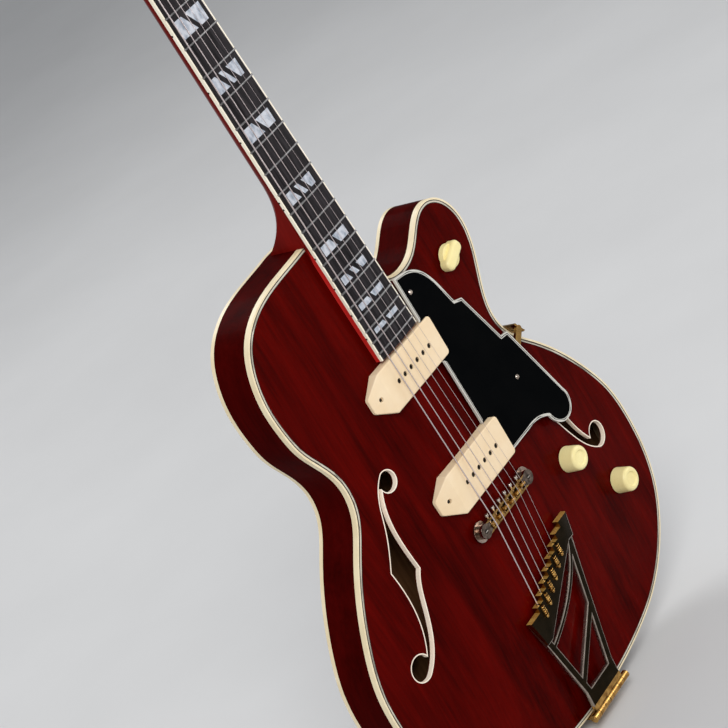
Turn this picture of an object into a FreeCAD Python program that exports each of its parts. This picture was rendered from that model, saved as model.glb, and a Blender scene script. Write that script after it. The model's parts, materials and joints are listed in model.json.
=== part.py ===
import FreeCAD, Part
import os
from math import asin, atan2, cos, hypot, pi, radians, sin, sqrt, tan

os.makedirs("parts", exist_ok=True)

# The guitar stands upright. X runs across to the treble side, Y from the face to the back, Z up the neck.
# The origin is the seat of the end strap button on the tail. Lengths are in millimetres, angles in degrees.

# Fits
touch_gap = 0.2
running_gap = 0.06
free_gap = 0.4
overrun = 8.0
tiny = 1e-6

# Body: outline, rim and plates
body_length = 506.0
lower_bout_width = 425.0
rim_depth = 44.0
rim_thickness = 3.0
plate_thickness = 5.0
top_arch = 15.6
back_arch = 14.0
arch_power = 1.6
arch_step = 6.0
arch_margin = 12.0
arch_sweeps = 260
arch_relax = 1.88
neck_pocket_half = 30.0
bass_shoulder_shares = [(-0.374, 0.994), (-0.534, 0.977), (-0.623, 0.951), (-0.680, 0.913),
                        (-0.713, 0.850), (-0.707, 0.802)]
lower_side_shares = [(0.685, 0.758), (0.625, 0.706), (0.593, 0.660), (0.616, 0.613), (0.711, 0.564),
                     (0.821, 0.508), (0.929, 0.432), (0.981, 0.376), (1.000, 0.296), (0.981, 0.223),
                     (0.939, 0.172), (0.847, 0.116), (0.729, 0.072), (0.571, 0.036), (0.376, 0.014)]
horn_shares = [(0.715, 0.827), (0.686, 0.863), (0.640, 0.884), (0.570, 0.895), (0.504, 0.890),
               (0.431, 0.870), (0.357, 0.850), (0.276, 0.843), (0.205, 0.848),
               (0.158, 0.862)]
cutaway_top_share = 0.881
outline_samples = 110
inset_steps = 8

# Edge bindings and purfling
binding_width = 1.8
binding_height = 5.0
ply_widths = [0.8, 1.5, 0.5]
back_binding_width = 3.0
back_binding_height = 4.0

# Sound holes, as shares of their length from their middle, inwards and upwards
f_hole_length = 159.0
f_hole_x = 121.0
f_hole_z = 240.5
f_binding_width = 1.0
f_binding_depth = 4.2
f_outer_upper_shares = [(0.2048, 0.5006), (0.116, 0.416), (0.037, 0.257), (-0.052, 0.116), (-0.085, 0.072)]
f_outer_lower_shares = [(-0.085, 0.072), (-0.082, -0.087), (-0.126, -0.299), (-0.176, -0.394)]
f_lower_eye_shares = [(-0.176, -0.394), (-0.3244, -0.4245), (-0.219, -0.4965)]
f_inner_lower_shares = [(-0.219, -0.4965), (-0.122, -0.414), (-0.007, -0.193), (0.037, -0.096),
                        (0.088, -0.030)]
f_inner_upper_shares = [(0.088, -0.030), (0.0855, 0.151), (0.116, 0.328), (0.160, 0.420)]
f_upper_eye_shares = [(0.160, 0.420), (0.2835, 0.439), (0.2048, 0.5006)]

# Inside of the body
lining_width = 6.0
lining_height = 11.0
neck_block_half = 27.0
neck_block_length = 64.0
tail_block_half = 36.0
tail_block_length = 22.0
tone_bar_x = 57.0
tone_bar_width = 8.0
tone_bar_height = 13.0
tone_bar_low = 96.0
tone_bar_high = 332.0

# Neck, measured from the bridge line towards the head and down from the fingerboard's crest
scale_length = 635.0
bridge_line = 218.5
board_rise = 23.8
neck_pitch = 3.0
fret_count = 22
board_thickness = 5.2
board_radius = 305.0
board_overhang = 6.5
nut_width = 43.0
board_end_width = 57.0
neck_binding_width = 1.5
neck_inset = 0.5
shaft_side = 3.0
shaft_side_share = 0.985
shaft_depth_nut = 15.5
shaft_depth_heel = 18.5
heel_run = 66.0
heel_depth = 47.3
heel_side = 43.0
heel_tip_half = 29.0
heel_flare = 3.4
heel_flare_power = 2.0
heel_growth_power = 2.6
heel_steps = 18
tenon_half = 18.0
tenon_length = 50.0
tenon_depth = 30.0
tenon_rise = 2.0
riser_depth = 14.0

# Frets, inlays and nut
fret_width = 1.8
fret_height = 1.0
fret_seat = 0.02
inlay_frets = [(3, 2), (5, 2), (7, 3), (9, 2), (12, 3), (15, 2), (17, 3), (19, 2), (21, 2)]
inlay_half = 17.8
inlay_margin_share = 0.21
inlay_margin_growth_share = 0.016
inlay_growth_fret = 15
inlay_slant_share = 0.6
inlay_two_gap = 5.0
inlay_three_gap = 5.4
inlay_middle = 5.2
inlay_depth = 1.3
nut_thickness = 5.0
nut_height = 2.6
nut_slot_room = 0.2

# Headstock, measured from the nut along its own face
head_angle = 14.0
head_drop = 4.4
head_length = 168.0
head_thickness = 14.0
veneer_thickness = 1.6
head_root_shares = [(0.5, 0.0), (0.535, 0.07)]
head_width = 82.0
head_side_shares = [(0.46, 0.24), (0.5, 0.52), (0.485, 0.8), (0.43, 0.92)]
head_lap = 9.0
truss_rod_radius = 3.0
truss_rod_drop = 6.5
truss_rod_low = 24.0
truss_rod_high = 8.0
truss_pocket_half = 5.0
truss_pocket_low = 3.0
truss_pocket_high = 25.0
truss_cover_half = 9.0
truss_cover_low = 2.0
truss_cover_high = 34.0
truss_cover_thickness = 1.8
truss_cover_waist_share = 0.6
truss_screw_share = 0.75

# Tuners, on the headstock
tuner_first = 42.0
tuner_step = 40.0
tuner_x = 27.5
tuner_spread = 1.0
post_radius = 3.0
post_waist = 2.7
post_waist_low = 3.5
post_waist_high = 13.0
post_top_radius = 3.6
post_height = 17.0
bushing_radius = 5.0
bushing_depth = 8.0
bushing_flange = 7.0
bushing_flange_height = 1.5
gear_teeth = 15
gear_radius = 5.2
gear_root = 4.4
gear_thickness = 3.0
gear_lift = 2.5
worm_radius = 2.4
worm_half = 4.5
tuner_shaft_radius = 1.9
housing_half = 8.5
housing_low = 8.0
housing_high = 13.0
housing_height = 9.5
housing_wall = 1.4
button_radius = 9.0
button_thickness = 6.5
button_edge = 2.0
button_reach = 54.0

# Strings, from the lowest to the highest
string_diameters = [1.24, 0.97, 0.71, 0.46, 0.36, 0.28]
string_half_nut = 17.5
string_half_bridge = 26.0
string_half_tail = 25.5
string_height_tail = 0.3
string_height_nut = 1.75
string_height_bridge = 4.3
string_bend = 5.0
string_wrap_height = 5.0
string_wrap_turns = 2
string_wrap_spacing = 0.6
string_lead = 6.0
ball_radius = 1.9
slot_length = 8.0

# Pickups: two covers alike, each with its own height above the rim's edge
pickup_places = [("neck", 367.0, 15.0), ("bridge", 260.0, 22.7)]
cover_half = 43.0
cover_half_width = 19.5
cover_wall = 2.0
cover_round = 1.2
cover_corner = 3.6
ear_reach = 18.5
ear_tip_half = 7.0
ear_edge = 3.2
ear_tab = 2.0
ear_screw_x = 51.0
ear_screw_head = 1.7
ear_screw_sink = 1.4
ear_screw_bite = 3.0
pole_spacing = 10.0
pole_count = 6
pole_radius = 2.0
pole_hole_radius = 2.3
pole_sink = 0.6
pole_slot = 0.7
coil_inset = 1.5
coil_depth = 17.0

# Pickguard, in plan, and how high it floats
guard_thickness = 2.2
guard_rise = 13.0
guard_tilt = 1.3
guard_top = 431.0
guard_inner = 31.0
guard_room = 0.5
guard_border = 2.4
guard_shoulder = [(46.0, 428.5), (57.0, 423.5), (67.0, 412.0), (73.0, 397.0), (78.5, 376.0)]
guard_step_x = 9.5
guard_step_z = 3.5
guard_waist = (105.0, 319.5)
guard_waist_step_x = 9.0
guard_waist_step_z = 1.5
guard_tip = [(137.5, 239.0), (138.5, 228.0), (132.0, 218.5), (120.0, 216.5), (110.5, 222.0), (105.0, 232.5)]
guard_foot = [(95.0, 238.0), (75.0, 240.5)]
guard_post = (40.0, 412.0)
guard_post_radius = 4.0
bracket_arm_width = 7.0
bracket_arm_height = 3.0
bracket_arm_start = (96.0, 282.0)
bracket_arm_end = (131.0, 309.0)
bracket_foot_length = 12.0
bracket_foot_thickness = 2.0
bracket_foot_low = -14.0
bracket_foot_high = 12.5
band_samples = 12

# Bridge
bridge_shift = -2.0
post_spacing = 75.0
stud_radius = 2.1
stud_sink = 14.0
stud_proud = 0.3
bridge_half_width = 5.5
bridge_end_radius = 6.5
bridge_thickness = 5.6
bridge_top = 24.4
bridge_floor = 1.3
saddle_width = 6.4
saddle_length = 4.0
saddle_travel = 3.0
saddle_setback = 1.6
saddle_setback_shares = [0.6, 0.35, 0.1, 0.45, 0.25, 0.0]
pocket_length = 7.6
saddle_base_room = 0.2
saddle_side_room = 0.3
saddle_peak_share = 0.2
saddle_screw_radius = 1.0
saddle_screw_head = 1.9
saddle_screw_head_length = 2.2
saddle_screw_drop = 2.6
saddle_screw_reach = 2.0
string_room = 0.45
thumbwheel_radius = 9.5
thumbwheel_root = 9.1
thumbwheel_teeth = 36
thumbwheel_thickness = 1.7

# Tailpiece, in its own plane from the hinge towards the bridge
hinge_z = 2.0
hinge_rise = 10.5
hinge_radius = 3.8
hinge_pin_radius = 1.7
hinge_half = 31.0
knuckle_count = 7
tail_tilt = 3.4
frame_thickness = 3.4
frame_foot_half = 18.6
frame_spread_share = 0.23
rail_width = 8.0
tail_plate_high = 24.0
crossbar_z = 138.8
crossbar_slope_share = 0.52
crossbar_back_z = 112.5
crossbar_back_slope_share = 0.66
crossbar_proud = 2.6
strut_straight_ends = [(-24.0, 31.0), (32.0, 79.0)]
strut_straight_width = 7.5
strut_curved_points = [(45.0, 137.0), (34.5, 122.0), (20.0, 108.5), (-2.0, 95.0), (-34.0, 83.0)]
strut_curved_width = 5.0
slot_reach = 20.0
frame_rise = 1.2
slot_room = 0.5
ball_room = 0.6
tail_bracket_half = 26.0
tail_bracket_thickness = 2.0
tail_bracket_reach = 14.5
tail_screw_share = 0.6

# Knobs and controls
knob_places = [("volume", 103.5, 186.5), ("tone", 152.6, 125.5)]
knob_radius = 11.8
knob_top_radius = 11.0
knob_height = 15.5
knob_round = 3.0
knob_dish_radius = 7.0
knob_dish_depth = 1.2
knob_lift = 1.5
knob_bore_depth = 11.0
control_shaft_radius = 3.0
control_bushing_radius = 4.6
control_bushing_rise = 0.9
control_drop = 3.0
pot_radius = 12.0
pot_height = 9.0
selector_x = 111.0
selector_z = 402.0
selector_skirt_radius = 11.5
selector_skirt_height = 4.0
selector_bar_length = 28.5
selector_bar_width = 12.0
selector_bar_height = 9.0
selector_bar_round = 3.4
selector_turn = 25.0
selector_skirt_share = 0.92
selector_round_share = 0.85

# Output jack and strap buttons
jack_share = 0.615
jack_radius = 5.5
jack_bore_radius = 3.25
jack_flange_radius = 11.0
jack_flange_thickness = 2.0
jack_flange_share = 0.85
jack_length = 24.0
button_collar_radius = 5.0
strap_waist_radius = 4.0
strap_head_radius = 8.0
strap_length = 14.0
strap_head_thickness = 3.0
strap_shank_radius = 2.0
strap_shank_length = 13.0
strap_rim_share = 0.8
back_button_z = 470.0
button_sink = 0.6

# Wood screws
screw_head_radius = 2.3
screw_head_height = 1.0
screw_crown_share = 0.6
screw_shank_radius = 1.2
screw_slot = 0.6


def vec(x, y, z):
    return FreeCAD.Vector(x, y, z)


X_WAY = vec(1, 0, 0)
Z_WAY = vec(0, 0, 1)
FRONT = vec(0, -1, 0)
BACK = vec(0, 1, 0)


def front_y(height):
    """Y of a point that stands this high in front of the rim's front edge."""
    return -rim_depth / 2 - height


def box(x_low, x_high, y_low, y_high, z_low, z_high):
    return Part.makeBox(x_high - x_low, y_high - y_low, z_high - z_low, vec(x_low, y_low, z_low))


def rod(radius, start, end):
    way = end.sub(start)
    return Part.makeCylinder(radius, way.Length, start, way)


def outward(solid):
    """The same solid with its faces looking outwards."""
    if solid.Volume < 0:
        solid.reverse()
    return solid


def prism(points, y_low, y_high):
    """Flat outline of (x, z) points, drawn out from y_low to y_high."""
    corners = [vec(x, y_low, z) for x, z in points]
    face = Part.Face(Part.makePolygon(corners + corners[:1]))
    return outward(face.extrude(vec(0, y_high - y_low, 0)))


def lathe(profile, place, way):
    """Round piece from (radius, height) points, standing at a place and pointing a way."""
    corners = [vec(radius, 0, height) for radius, height in profile]
    face = Part.Face(Part.makePolygon(corners + corners[:1]))
    solid = outward(face.revolve(vec(0, 0, 0), Z_WAY, 360))
    solid.Placement = FreeCAD.Placement(place, FreeCAD.Rotation(Z_WAY, way))
    return solid


def curve_through(points):
    curve = Part.BSplineCurve()
    curve.interpolate(Points=points)
    return curve


def line(start, end):
    return Part.LineSegment(start, end).toShape()


def inset_face(edges, inset):
    """Face inside a closed run of edges in the XZ plane, with its border moved inwards."""
    runs = []
    for edge in edges:
        first, last = edge.FirstParameter, edge.LastParameter
        steps = 1 if edge.Curve.TypeId == "Part::GeomLine" else inset_steps
        parameters = [first + (last - first) * index / steps for index in range(steps + 1)]
        runs.append([(edge.valueAt(parameter), edge.tangentAt(parameter)) for parameter in parameters])
    corners = [run[0][0] for run in runs]
    area = sum(a.x * b.z - b.x * a.z for a, b in zip(corners, corners[1:] + corners[:1]))
    side = inset if area > 0 else -inset
    shifted = []
    for index, run in enumerate(runs):
        before, after = runs[index - 1][-1][1], runs[(index + 1) % len(runs)][0][1]
        points = []
        for step, (point, way) in enumerate(run):
            other = before if step == 0 else after if step == len(run) - 1 else way
            turn = 1 + way.dot(other)
            across = vec(-way.z - other.z, 0, way.x + other.x)
            points.append(point.add(across.multiply(side / turn)))
        shifted.append(points)
    new_edges = [line(*points) if len(points) == 2 else curve_through(points).toShape() for points in shifted]
    return Part.Face(Part.Wire(new_edges))


def moved(shape, placement):
    copy = shape.copy()
    copy.Placement = placement.multiply(copy.Placement)
    return copy


def mirrored(shape):
    return shape.mirror(vec(0, 0, 0), X_WAY)


def save(node, *shapes):
    """One file for a node, with all its solids."""
    solids = [solid for shape in shapes for solid in shape.Solids]
    whole = solids[0]
    if len(solids) > 1:
        whole = Part.makeCompound(solids)
    whole.exportStep("parts/" + node + ".step")
    good = all(solid.isValid() for solid in solids)
    print(node, len(solids), "solids", round(sum(solid.Volume for solid in solids)), "mm3",
          "valid" if good else "BAD")


# Body outline, run from the bass side of the neck round the tail to the treble side of the neck

def outline_curve():
    half = lower_bout_width / 2
    bass = bass_shoulder_shares + [(-across, up) for across, up in lower_side_shares]
    treble = list(reversed(lower_side_shares)) + horn_shares
    shares = bass + [(0, 0)] + treble
    points = [vec(across * half, 0, up * body_length) for across, up in shares]
    start = vec(-neck_pocket_half, 0, body_length)
    end = vec(neck_pocket_half, 0, cutaway_top_share * body_length)
    return curve_through([start] + points + [end])


outline = outline_curve()


def outline_points(inset):
    """Points along the outline, moved inwards."""
    first, last = outline.FirstParameter, outline.LastParameter
    points = []
    for index in range(outline_samples + 1):
        parameter = first + (last - first) * index / outline_samples
        point = outline.value(parameter)
        way = outline.tangent(parameter)[0]
        points.append(point.add(vec(-way.z, 0, way.x).multiply(inset)))
    return points


def outline_prism(inset, y_low, y_high):
    curve = outline
    if inset:
        curve = curve_through(outline_points(inset))
    start = curve.value(curve.FirstParameter)
    end = curve.value(curve.LastParameter)
    corner = vec(neck_pocket_half - inset, 0, body_length - inset)
    wire = Part.Wire([curve.toShape(), line(end, corner), line(corner, start)])
    wire.translate(vec(0, y_low, 0))
    return outward(Part.Face(wire).extrude(vec(0, y_high - y_low, 0)))


def outline_ring(inset, width, y_low, y_high):
    return outline_prism(inset, y_low, y_high).cut(outline_prism(inset + width, y_low, y_high))


# Arch of the plates: the form of a skin blown up inside the outline, flattened towards the edge

def grid_line(low, high):
    steps = 2 * round((high - low) / arch_step / 2)
    return [low + (high - low) * index / steps for index in range(steps + 1)]


arch_columns = grid_line(-lower_bout_width / 2 - arch_margin, lower_bout_width / 2 + arch_margin)
arch_rows = grid_line(-arch_margin, body_length + arch_margin)


def skin_heights():
    corners = outline_points(0) + [vec(neck_pocket_half, 0, body_length)]
    sides = list(zip(corners, corners[1:] + corners[:1]))
    cells = []
    for row, z in enumerate(arch_rows):
        crossings = [a.x + (z - a.z) * (b.x - a.x) / (b.z - a.z) for a, b in sides if (a.z > z) != (b.z > z)]
        for column, x in enumerate(arch_columns):
            if sum(1 for crossing in crossings if crossing < x) % 2:
                cells.append((row, column))
    heights = [[0.0] * len(arch_columns) for row in arch_rows]
    for sweep in range(arch_sweeps):
        for row, column in cells:
            around = heights[row - 1][column] + heights[row + 1][column]
            around += heights[row][column - 1] + heights[row][column + 1]
            heights[row][column] += arch_relax * ((around + 1) / 4 - heights[row][column])
    peak = max(max(row) for row in heights)
    return [[(height / peak) ** arch_power for height in row] for row in heights]


arch_shape = skin_heights()


def top_height(x, z):
    """Height of the top plate's face above the rim's front edge."""
    across = (x - arch_columns[0]) / (arch_columns[1] - arch_columns[0])
    up = (z - arch_rows[0]) / (arch_rows[1] - arch_rows[0])
    column, row = int(across), int(up)
    right, above = across - column, up - row
    low = arch_shape[row][column] * (1 - right) + arch_shape[row][column + 1] * right
    high = arch_shape[row + 1][column] * (1 - right) + arch_shape[row + 1][column + 1] * right
    return top_arch * (low * (1 - above) + high * above)


def arch_face(arch, side):
    """Curved face of a plate: side -1 is the front, side 1 is the back."""
    points = []
    for row in range(0, len(arch_rows), 2):
        edge = side * rim_depth / 2
        points.append([vec(arch_columns[column], edge + side * arch * arch_shape[row][column], arch_rows[row])
                       for column in range(0, len(arch_columns), 2)])
    surface = Part.BSplineSurface()
    surface.interpolate(points)
    return surface.toShape()


front_face = arch_face(top_arch, -1)
back_face = arch_face(back_arch, 1)
tall = rim_depth


def layer(face, start, depth):
    """Slab that follows a curved face, from a distance behind it (or before it, if negative) by a depth."""
    shifted = face.copy()
    shifted.translate(vec(0, start, 0))
    return outward(shifted.extrude(vec(0, depth, 0)))


front_air = layer(front_face, -touch_gap, -tall)

# Sound holes

def f_hole_edges(side):
    def at(share):
        inwards, up = share
        return vec(side * (f_hole_x - inwards * f_hole_length), 0, f_hole_z + up * f_hole_length)

    def run(shares):
        return curve_through([at(share) for share in shares]).toShape()

    def eye(shares):
        return Part.Arc(*[at(share) for share in shares]).toShape()

    return [run(f_outer_upper_shares), run(f_outer_lower_shares), eye(f_lower_eye_shares),
            run(f_inner_lower_shares), run(f_inner_upper_shares), eye(f_upper_eye_shares)]


def through_front(face):
    piece = face.copy()
    piece.translate(vec(0, -rim_depth, 0))
    return outward(piece.extrude(vec(0, rim_depth, 0)))


f_edges = [f_hole_edges(side) for side in (-1, 1)]
f_cuts = [through_front(Part.Face(Part.Wire(edges))) for edges in f_edges]
f_openings = [through_front(inset_face(edges, f_binding_width)) for edges in f_edges]

# Places on the neck: across, down from the board's crest, up from the bridge line
neck_place = FreeCAD.Placement(vec(0, front_y(board_rise), bridge_line), FreeCAD.Rotation(X_WAY, -neck_pitch))
nut_back = scale_length + nut_thickness
head_place = neck_place.multiply(
    FreeCAD.Placement(vec(0, head_drop, nut_back), FreeCAD.Rotation(X_WAY, -head_angle)))
board_end = scale_length * 2 ** (-fret_count / 12) - board_overhang
heel_line = (body_length - bridge_line) / cos(radians(neck_pitch))


def fret_line(number):
    return scale_length * 2 ** (-number / 12)


def board_half(place):
    taper = (board_end_width - nut_width) / 2 / (scale_length - board_end)
    return nut_width / 2 + (scale_length - place) * taper


def crown(x):
    """How far the board's face has fallen below its crest at this distance from the middle."""
    return board_radius - sqrt(board_radius ** 2 - x ** 2)


# Fingerboard with bindings, inlays, frets and nut

def board_wedge(inset):
    low, high = board_half(board_end) - inset, board_half(scale_length) - inset
    corners = [(-low, board_end), (low, board_end), (high, scale_length), (-high, scale_length)]
    return prism(corners, -overrun, board_thickness)


def board_barrel():
    return rod(board_radius, vec(0, board_radius, board_end - overrun),
               vec(0, board_radius, scale_length + overrun))


def inlay_pieces():
    """Split blocks between frets: two or three slanted pieces each."""
    pieces = []
    for fret, count in inlay_frets:
        space = fret_line(fret - 1) - fret_line(fret)
        margin = space * (inlay_margin_share + inlay_margin_growth_share * max(0, fret - inlay_growth_fret))
        low, high = fret_line(fret) + margin, fret_line(fret - 1) - margin
        lean = (high - low) * inlay_slant_share / 2
        gap = inlay_two_gap / 2
        spans = [(-inlay_half, -gap), (gap, inlay_half)]
        if count == 3:
            near, far = inlay_middle - inlay_three_gap / 2, inlay_middle + inlay_three_gap / 2
            spans = [(-inlay_half, -far), (-near, near), (far, inlay_half)]
        for left, right in spans:
            left_lean = lean if left > -inlay_half else 0
            right_lean = lean if right < inlay_half else 0
            corners = [(left + left_lean, low), (right + right_lean, low), (right - right_lean, high),
                       (left - left_lean, high)]
            pieces.append(prism(corners, -overrun, crown(inlay_half) + inlay_depth))
    return pieces


def fret_wires():
    wires = []
    for number in range(1, fret_count + 1):
        place = fret_line(number)
        base = -fret_seat
        left, right = vec(0, base, place - fret_width / 2), vec(0, base, place + fret_width / 2)
        top = vec(0, base - fret_height, place)
        face = Part.Face(Part.Wire([line(right, left), Part.Arc(left, top, right).toShape()]))
        angle = asin((board_half(place) - neck_binding_width / 2) / board_radius) * 180 / pi
        face.rotate(vec(0, board_radius, 0), Z_WAY, -angle)
        wires.append(outward(face.revolve(vec(0, board_radius, 0), Z_WAY, 2 * angle)))
    return wires


def string_shares():
    """Where each string lies between the outer two, from -1 to 1."""
    count = len(string_diameters)
    return [2 * index / (count - 1) - 1 for index in range(count)]


def nut_point(index):
    x = string_shares()[index] * string_half_nut
    return vec(x, crown(x) - string_height_nut, scale_length + nut_thickness / 2)


board_blank = board_wedge(0).common(board_barrel())
board_core = board_blank.common(board_wedge(neck_binding_width))
inlays = [piece.common(board_core) for piece in inlay_pieces()]
save("fingerboard", moved(board_core.cut(Part.makeCompound(inlay_pieces())), neck_place))
save("neck_binding", moved(board_blank.cut(board_wedge(neck_binding_width)), neck_place))
save("inlays", *[moved(inlay, neck_place) for inlay in inlays])
save("frets", *[moved(wire, neck_place) for wire in fret_wires()])

# Neck: rounded shaft that grows into the heel, riser under the board, tenon and headstock

def neck_section(place, half, side, side_half, depth):
    top = board_thickness
    corners = [vec(-half, top, place), vec(-side_half, top + side, place), vec(side_half, top + side, place),
               vec(half, top, place)]
    arc = Part.Arc(corners[1], vec(0, top + depth, place), corners[2])
    return Part.Wire([line(corners[0], corners[1]), arc.toShape(), line(corners[2], corners[3]),
                      line(corners[3], corners[0])])


def neck_shaft():
    sections = []
    head_end = nut_back + head_lap
    half = board_half(head_end) - neck_inset
    sections.append(neck_section(head_end, half, shaft_side, half * shaft_side_share, shaft_depth_nut))
    for step in range(heel_steps + 1):
        growth = (step / heel_steps) ** heel_growth_power
        place = heel_line + (1 - step / heel_steps) * heel_run
        if step == heel_steps:
            place = heel_line - overrun
        half = board_half(place) - neck_inset + heel_flare * growth ** heel_flare_power
        side = shaft_side + (heel_side - shaft_side) * growth
        side_half = half * shaft_side_share + (heel_tip_half - half * shaft_side_share) * growth
        depth = shaft_depth_heel + (heel_depth - shaft_depth_heel) * growth
        sections.append(neck_section(place, half, side, side_half, depth))
    return outward(Part.makeLoft(sections, True, True))


def head_outline():
    """Outline of the headstock: straight root, swelling sides, rounded crest."""
    root = [vec(nut_width * across, 0, head_length * up) for across, up in head_root_shares]
    side = [vec(head_width * across, 0, head_length * up) for across, up in head_side_shares]
    crest = vec(0, 0, head_length)
    shoulder = vec(-side[-1].x, 0, side[-1].z)
    right = [line(root[0], root[1]), curve_through([root[-1]] + side).toShape()]
    left = [mirrored(edge) for edge in right]
    top = Part.Arc(side[-1], crest, shoulder).toShape()
    foot = line(vec(-root[0].x, 0, root[0].z), root[0])
    return Part.Wire(Part.__sortEdges__(right + [top] + left + [foot]))


def head_slab(front, depth):
    face = Part.Face(head_outline())
    face.translate(vec(0, front, 0))
    return outward(face.extrude(vec(0, depth, 0)))


head_back = veneer_thickness + head_thickness
tuners = []
for side in (-1, 1):
    for step in range(len(string_diameters) // 2):
        tuners.append((side, side * (tuner_x + step * tuner_spread), tuner_first + step * tuner_step))
# The lowest string goes to the first post on the bass side, the highest to the first post on the treble side
string_tuners = tuners[:3] + list(reversed(tuners[3:]))

truss_y = board_thickness + truss_rod_drop
truss_rod = rod(truss_rod_radius, vec(0, truss_y, heel_line + truss_rod_low),
                vec(0, truss_y, nut_back + truss_rod_high))
truss_channel = rod(truss_rod_radius + touch_gap, vec(0, truss_y, heel_line + truss_rod_low - touch_gap),
                    vec(0, truss_y, nut_back + truss_rod_high + touch_gap))
truss_pocket = box(-truss_pocket_half, truss_pocket_half, -overrun, head_back - truss_rod_radius,
                   truss_pocket_low, truss_pocket_high)

# Wood screws are listed as they come up: each has a place, a way in, a depth and a head
screws = []


def add_screw(place, way, depth, head=screw_head_radius):
    screws.append((place, way, depth, head))


def screw_holes():
    return Part.makeCompound([rod(screw_shank_radius, place.sub(vec(way.x, way.y, way.z).multiply(overrun)),
                                  place.add(vec(way.x, way.y, way.z).multiply(depth)))
                              for place, way, depth, head in screws])


def wood_screw(place, way, depth, head):
    cap = [(0, 0), (0, -screw_head_height), (head * screw_crown_share, -screw_head_height), (head, 0)]
    shank = [(screw_shank_radius, 0), (screw_shank_radius, depth - head), (0, depth)]
    piece = lathe(cap + shank, vec(0, 0, 0), Z_WAY)
    slot = box(-head, head, -screw_slot / 2, screw_slot / 2, -screw_head_height, -screw_head_height / 2)
    piece = piece.cut(slot)
    piece.Placement = FreeCAD.Placement(place, FreeCAD.Rotation(Z_WAY, way))
    return piece


# Tuners: housing, bushing, post with gear wheel, button with worm

gear_low = head_back + gear_lift
worm_y = gear_low + gear_thickness / 2
worm_offset = gear_radius + worm_radius + free_gap
housing_tab = 2 * screw_head_radius + housing_wall


def tuner_housing(side, x, z):
    outer = box(x - housing_half, x + housing_half, head_back, head_back + housing_height, z - housing_low,
                z + housing_high)
    inner = box(x - housing_half + housing_wall, x + housing_half - housing_wall, head_back,
                head_back + housing_height - housing_wall, z - housing_low + housing_wall,
                z + housing_high - housing_wall)
    tab = box(x - housing_tab / 2, x + housing_tab / 2, head_back, head_back + housing_wall,
              z - housing_low - housing_tab, z - housing_low)
    shaft_hole = rod(tuner_shaft_radius + running_gap, vec(x - 2 * housing_half, worm_y, z + worm_offset),
                     vec(x + 2 * housing_half, worm_y, z + worm_offset))
    return outer.cut(inner).fuse(tab).cut(shaft_hole).removeSplitter()


def tuner_bushing(x, z):
    bore = post_radius + running_gap
    profile = [(bore, -bushing_depth), (bushing_radius, -bushing_depth), (bushing_radius, 0),
               (bushing_flange, 0),
               (bushing_radius, bushing_flange_height), (bore, bushing_flange_height)]
    return lathe(profile, vec(x, 0, z), FRONT)


def toothed_disc(root, tip, teeth, low, high):
    """Wheel with plain pointed teeth, standing on the Z axis."""
    corners = []
    for index in range(2 * teeth):
        radius = tip if index % 2 else root
        turn = pi * index / teeth
        corners.append(vec(radius * cos(turn), radius * sin(turn), low))
    return Part.Face(Part.makePolygon(corners + corners[:1])).extrude(vec(0, 0, high - low))


def tuner_post(x, z):
    foot = -(gear_low + gear_thickness)
    profile = [(0, foot), (post_radius, foot), (post_radius, post_waist_low - (post_radius - post_waist)),
               (post_waist, post_waist_low), (post_waist, post_waist_high),
               (post_top_radius, post_waist_high + post_top_radius - post_waist),
               (post_top_radius, post_height),
               (0, post_height)]
    post = lathe(profile, vec(0, 0, 0), Z_WAY)
    wheel = toothed_disc(gear_root, gear_radius, gear_teeth, foot, foot + gear_thickness)
    piece = post.fuse(wheel).removeSplitter()
    piece.Placement = FreeCAD.Placement(vec(x, 0, z), FreeCAD.Rotation(Z_WAY, FRONT))
    return piece


def tuner_button(side, x, z):
    reach = button_reach - abs(x)
    inner = -housing_half - housing_wall
    neck_end = reach - button_radius + button_edge
    profile = [(0, inner), (tuner_shaft_radius, inner), (tuner_shaft_radius, -worm_half),
               (worm_radius, -worm_half),
               (worm_radius, worm_half), (tuner_shaft_radius, worm_half), (tuner_shaft_radius, neck_end),
               (0, neck_end)]
    shaft = lathe(profile, vec(0, 0, 0), X_WAY)
    grip = Part.makeCylinder(button_radius, button_thickness, vec(reach, -button_thickness / 2, 0), BACK)
    grip = grip.makeFillet(button_edge, grip.Edges)
    piece = shaft.fuse(grip)
    if side < 0:
        piece = mirrored(piece)
    piece.translate(vec(x, worm_y, z + worm_offset))
    return piece


def on_head(shape):
    return moved(shape, head_place)


post_holes = Part.makeCompound([rod(bushing_radius, vec(x, -overrun, z), vec(x, head_back + overrun, z))
                                for side, x, z in tuners])
for side, x, z in tuners:
    seat = vec(x, head_back + housing_wall, z - housing_low - housing_tab / 2)
    add_screw(head_place.multVec(seat), head_place.Rotation.multVec(FRONT), head_thickness / 2)
truss_cover_screws = [(0, truss_pocket_high + screw_head_radius),
                      (-truss_cover_half * truss_screw_share, truss_cover_low + screw_head_radius),
                      (truss_cover_half * truss_screw_share, truss_cover_low + screw_head_radius)]
for x, z in truss_cover_screws:
    add_screw(head_place.multVec(vec(x, -truss_cover_thickness, z)), head_place.Rotation.multVec(BACK),
              head_thickness / 2)

# Heel end of the neck
tenon = box(-tenon_half, tenon_half, front_y(tenon_rise), front_y(-tenon_depth), body_length - tenon_length,
            body_length + overrun)


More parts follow.
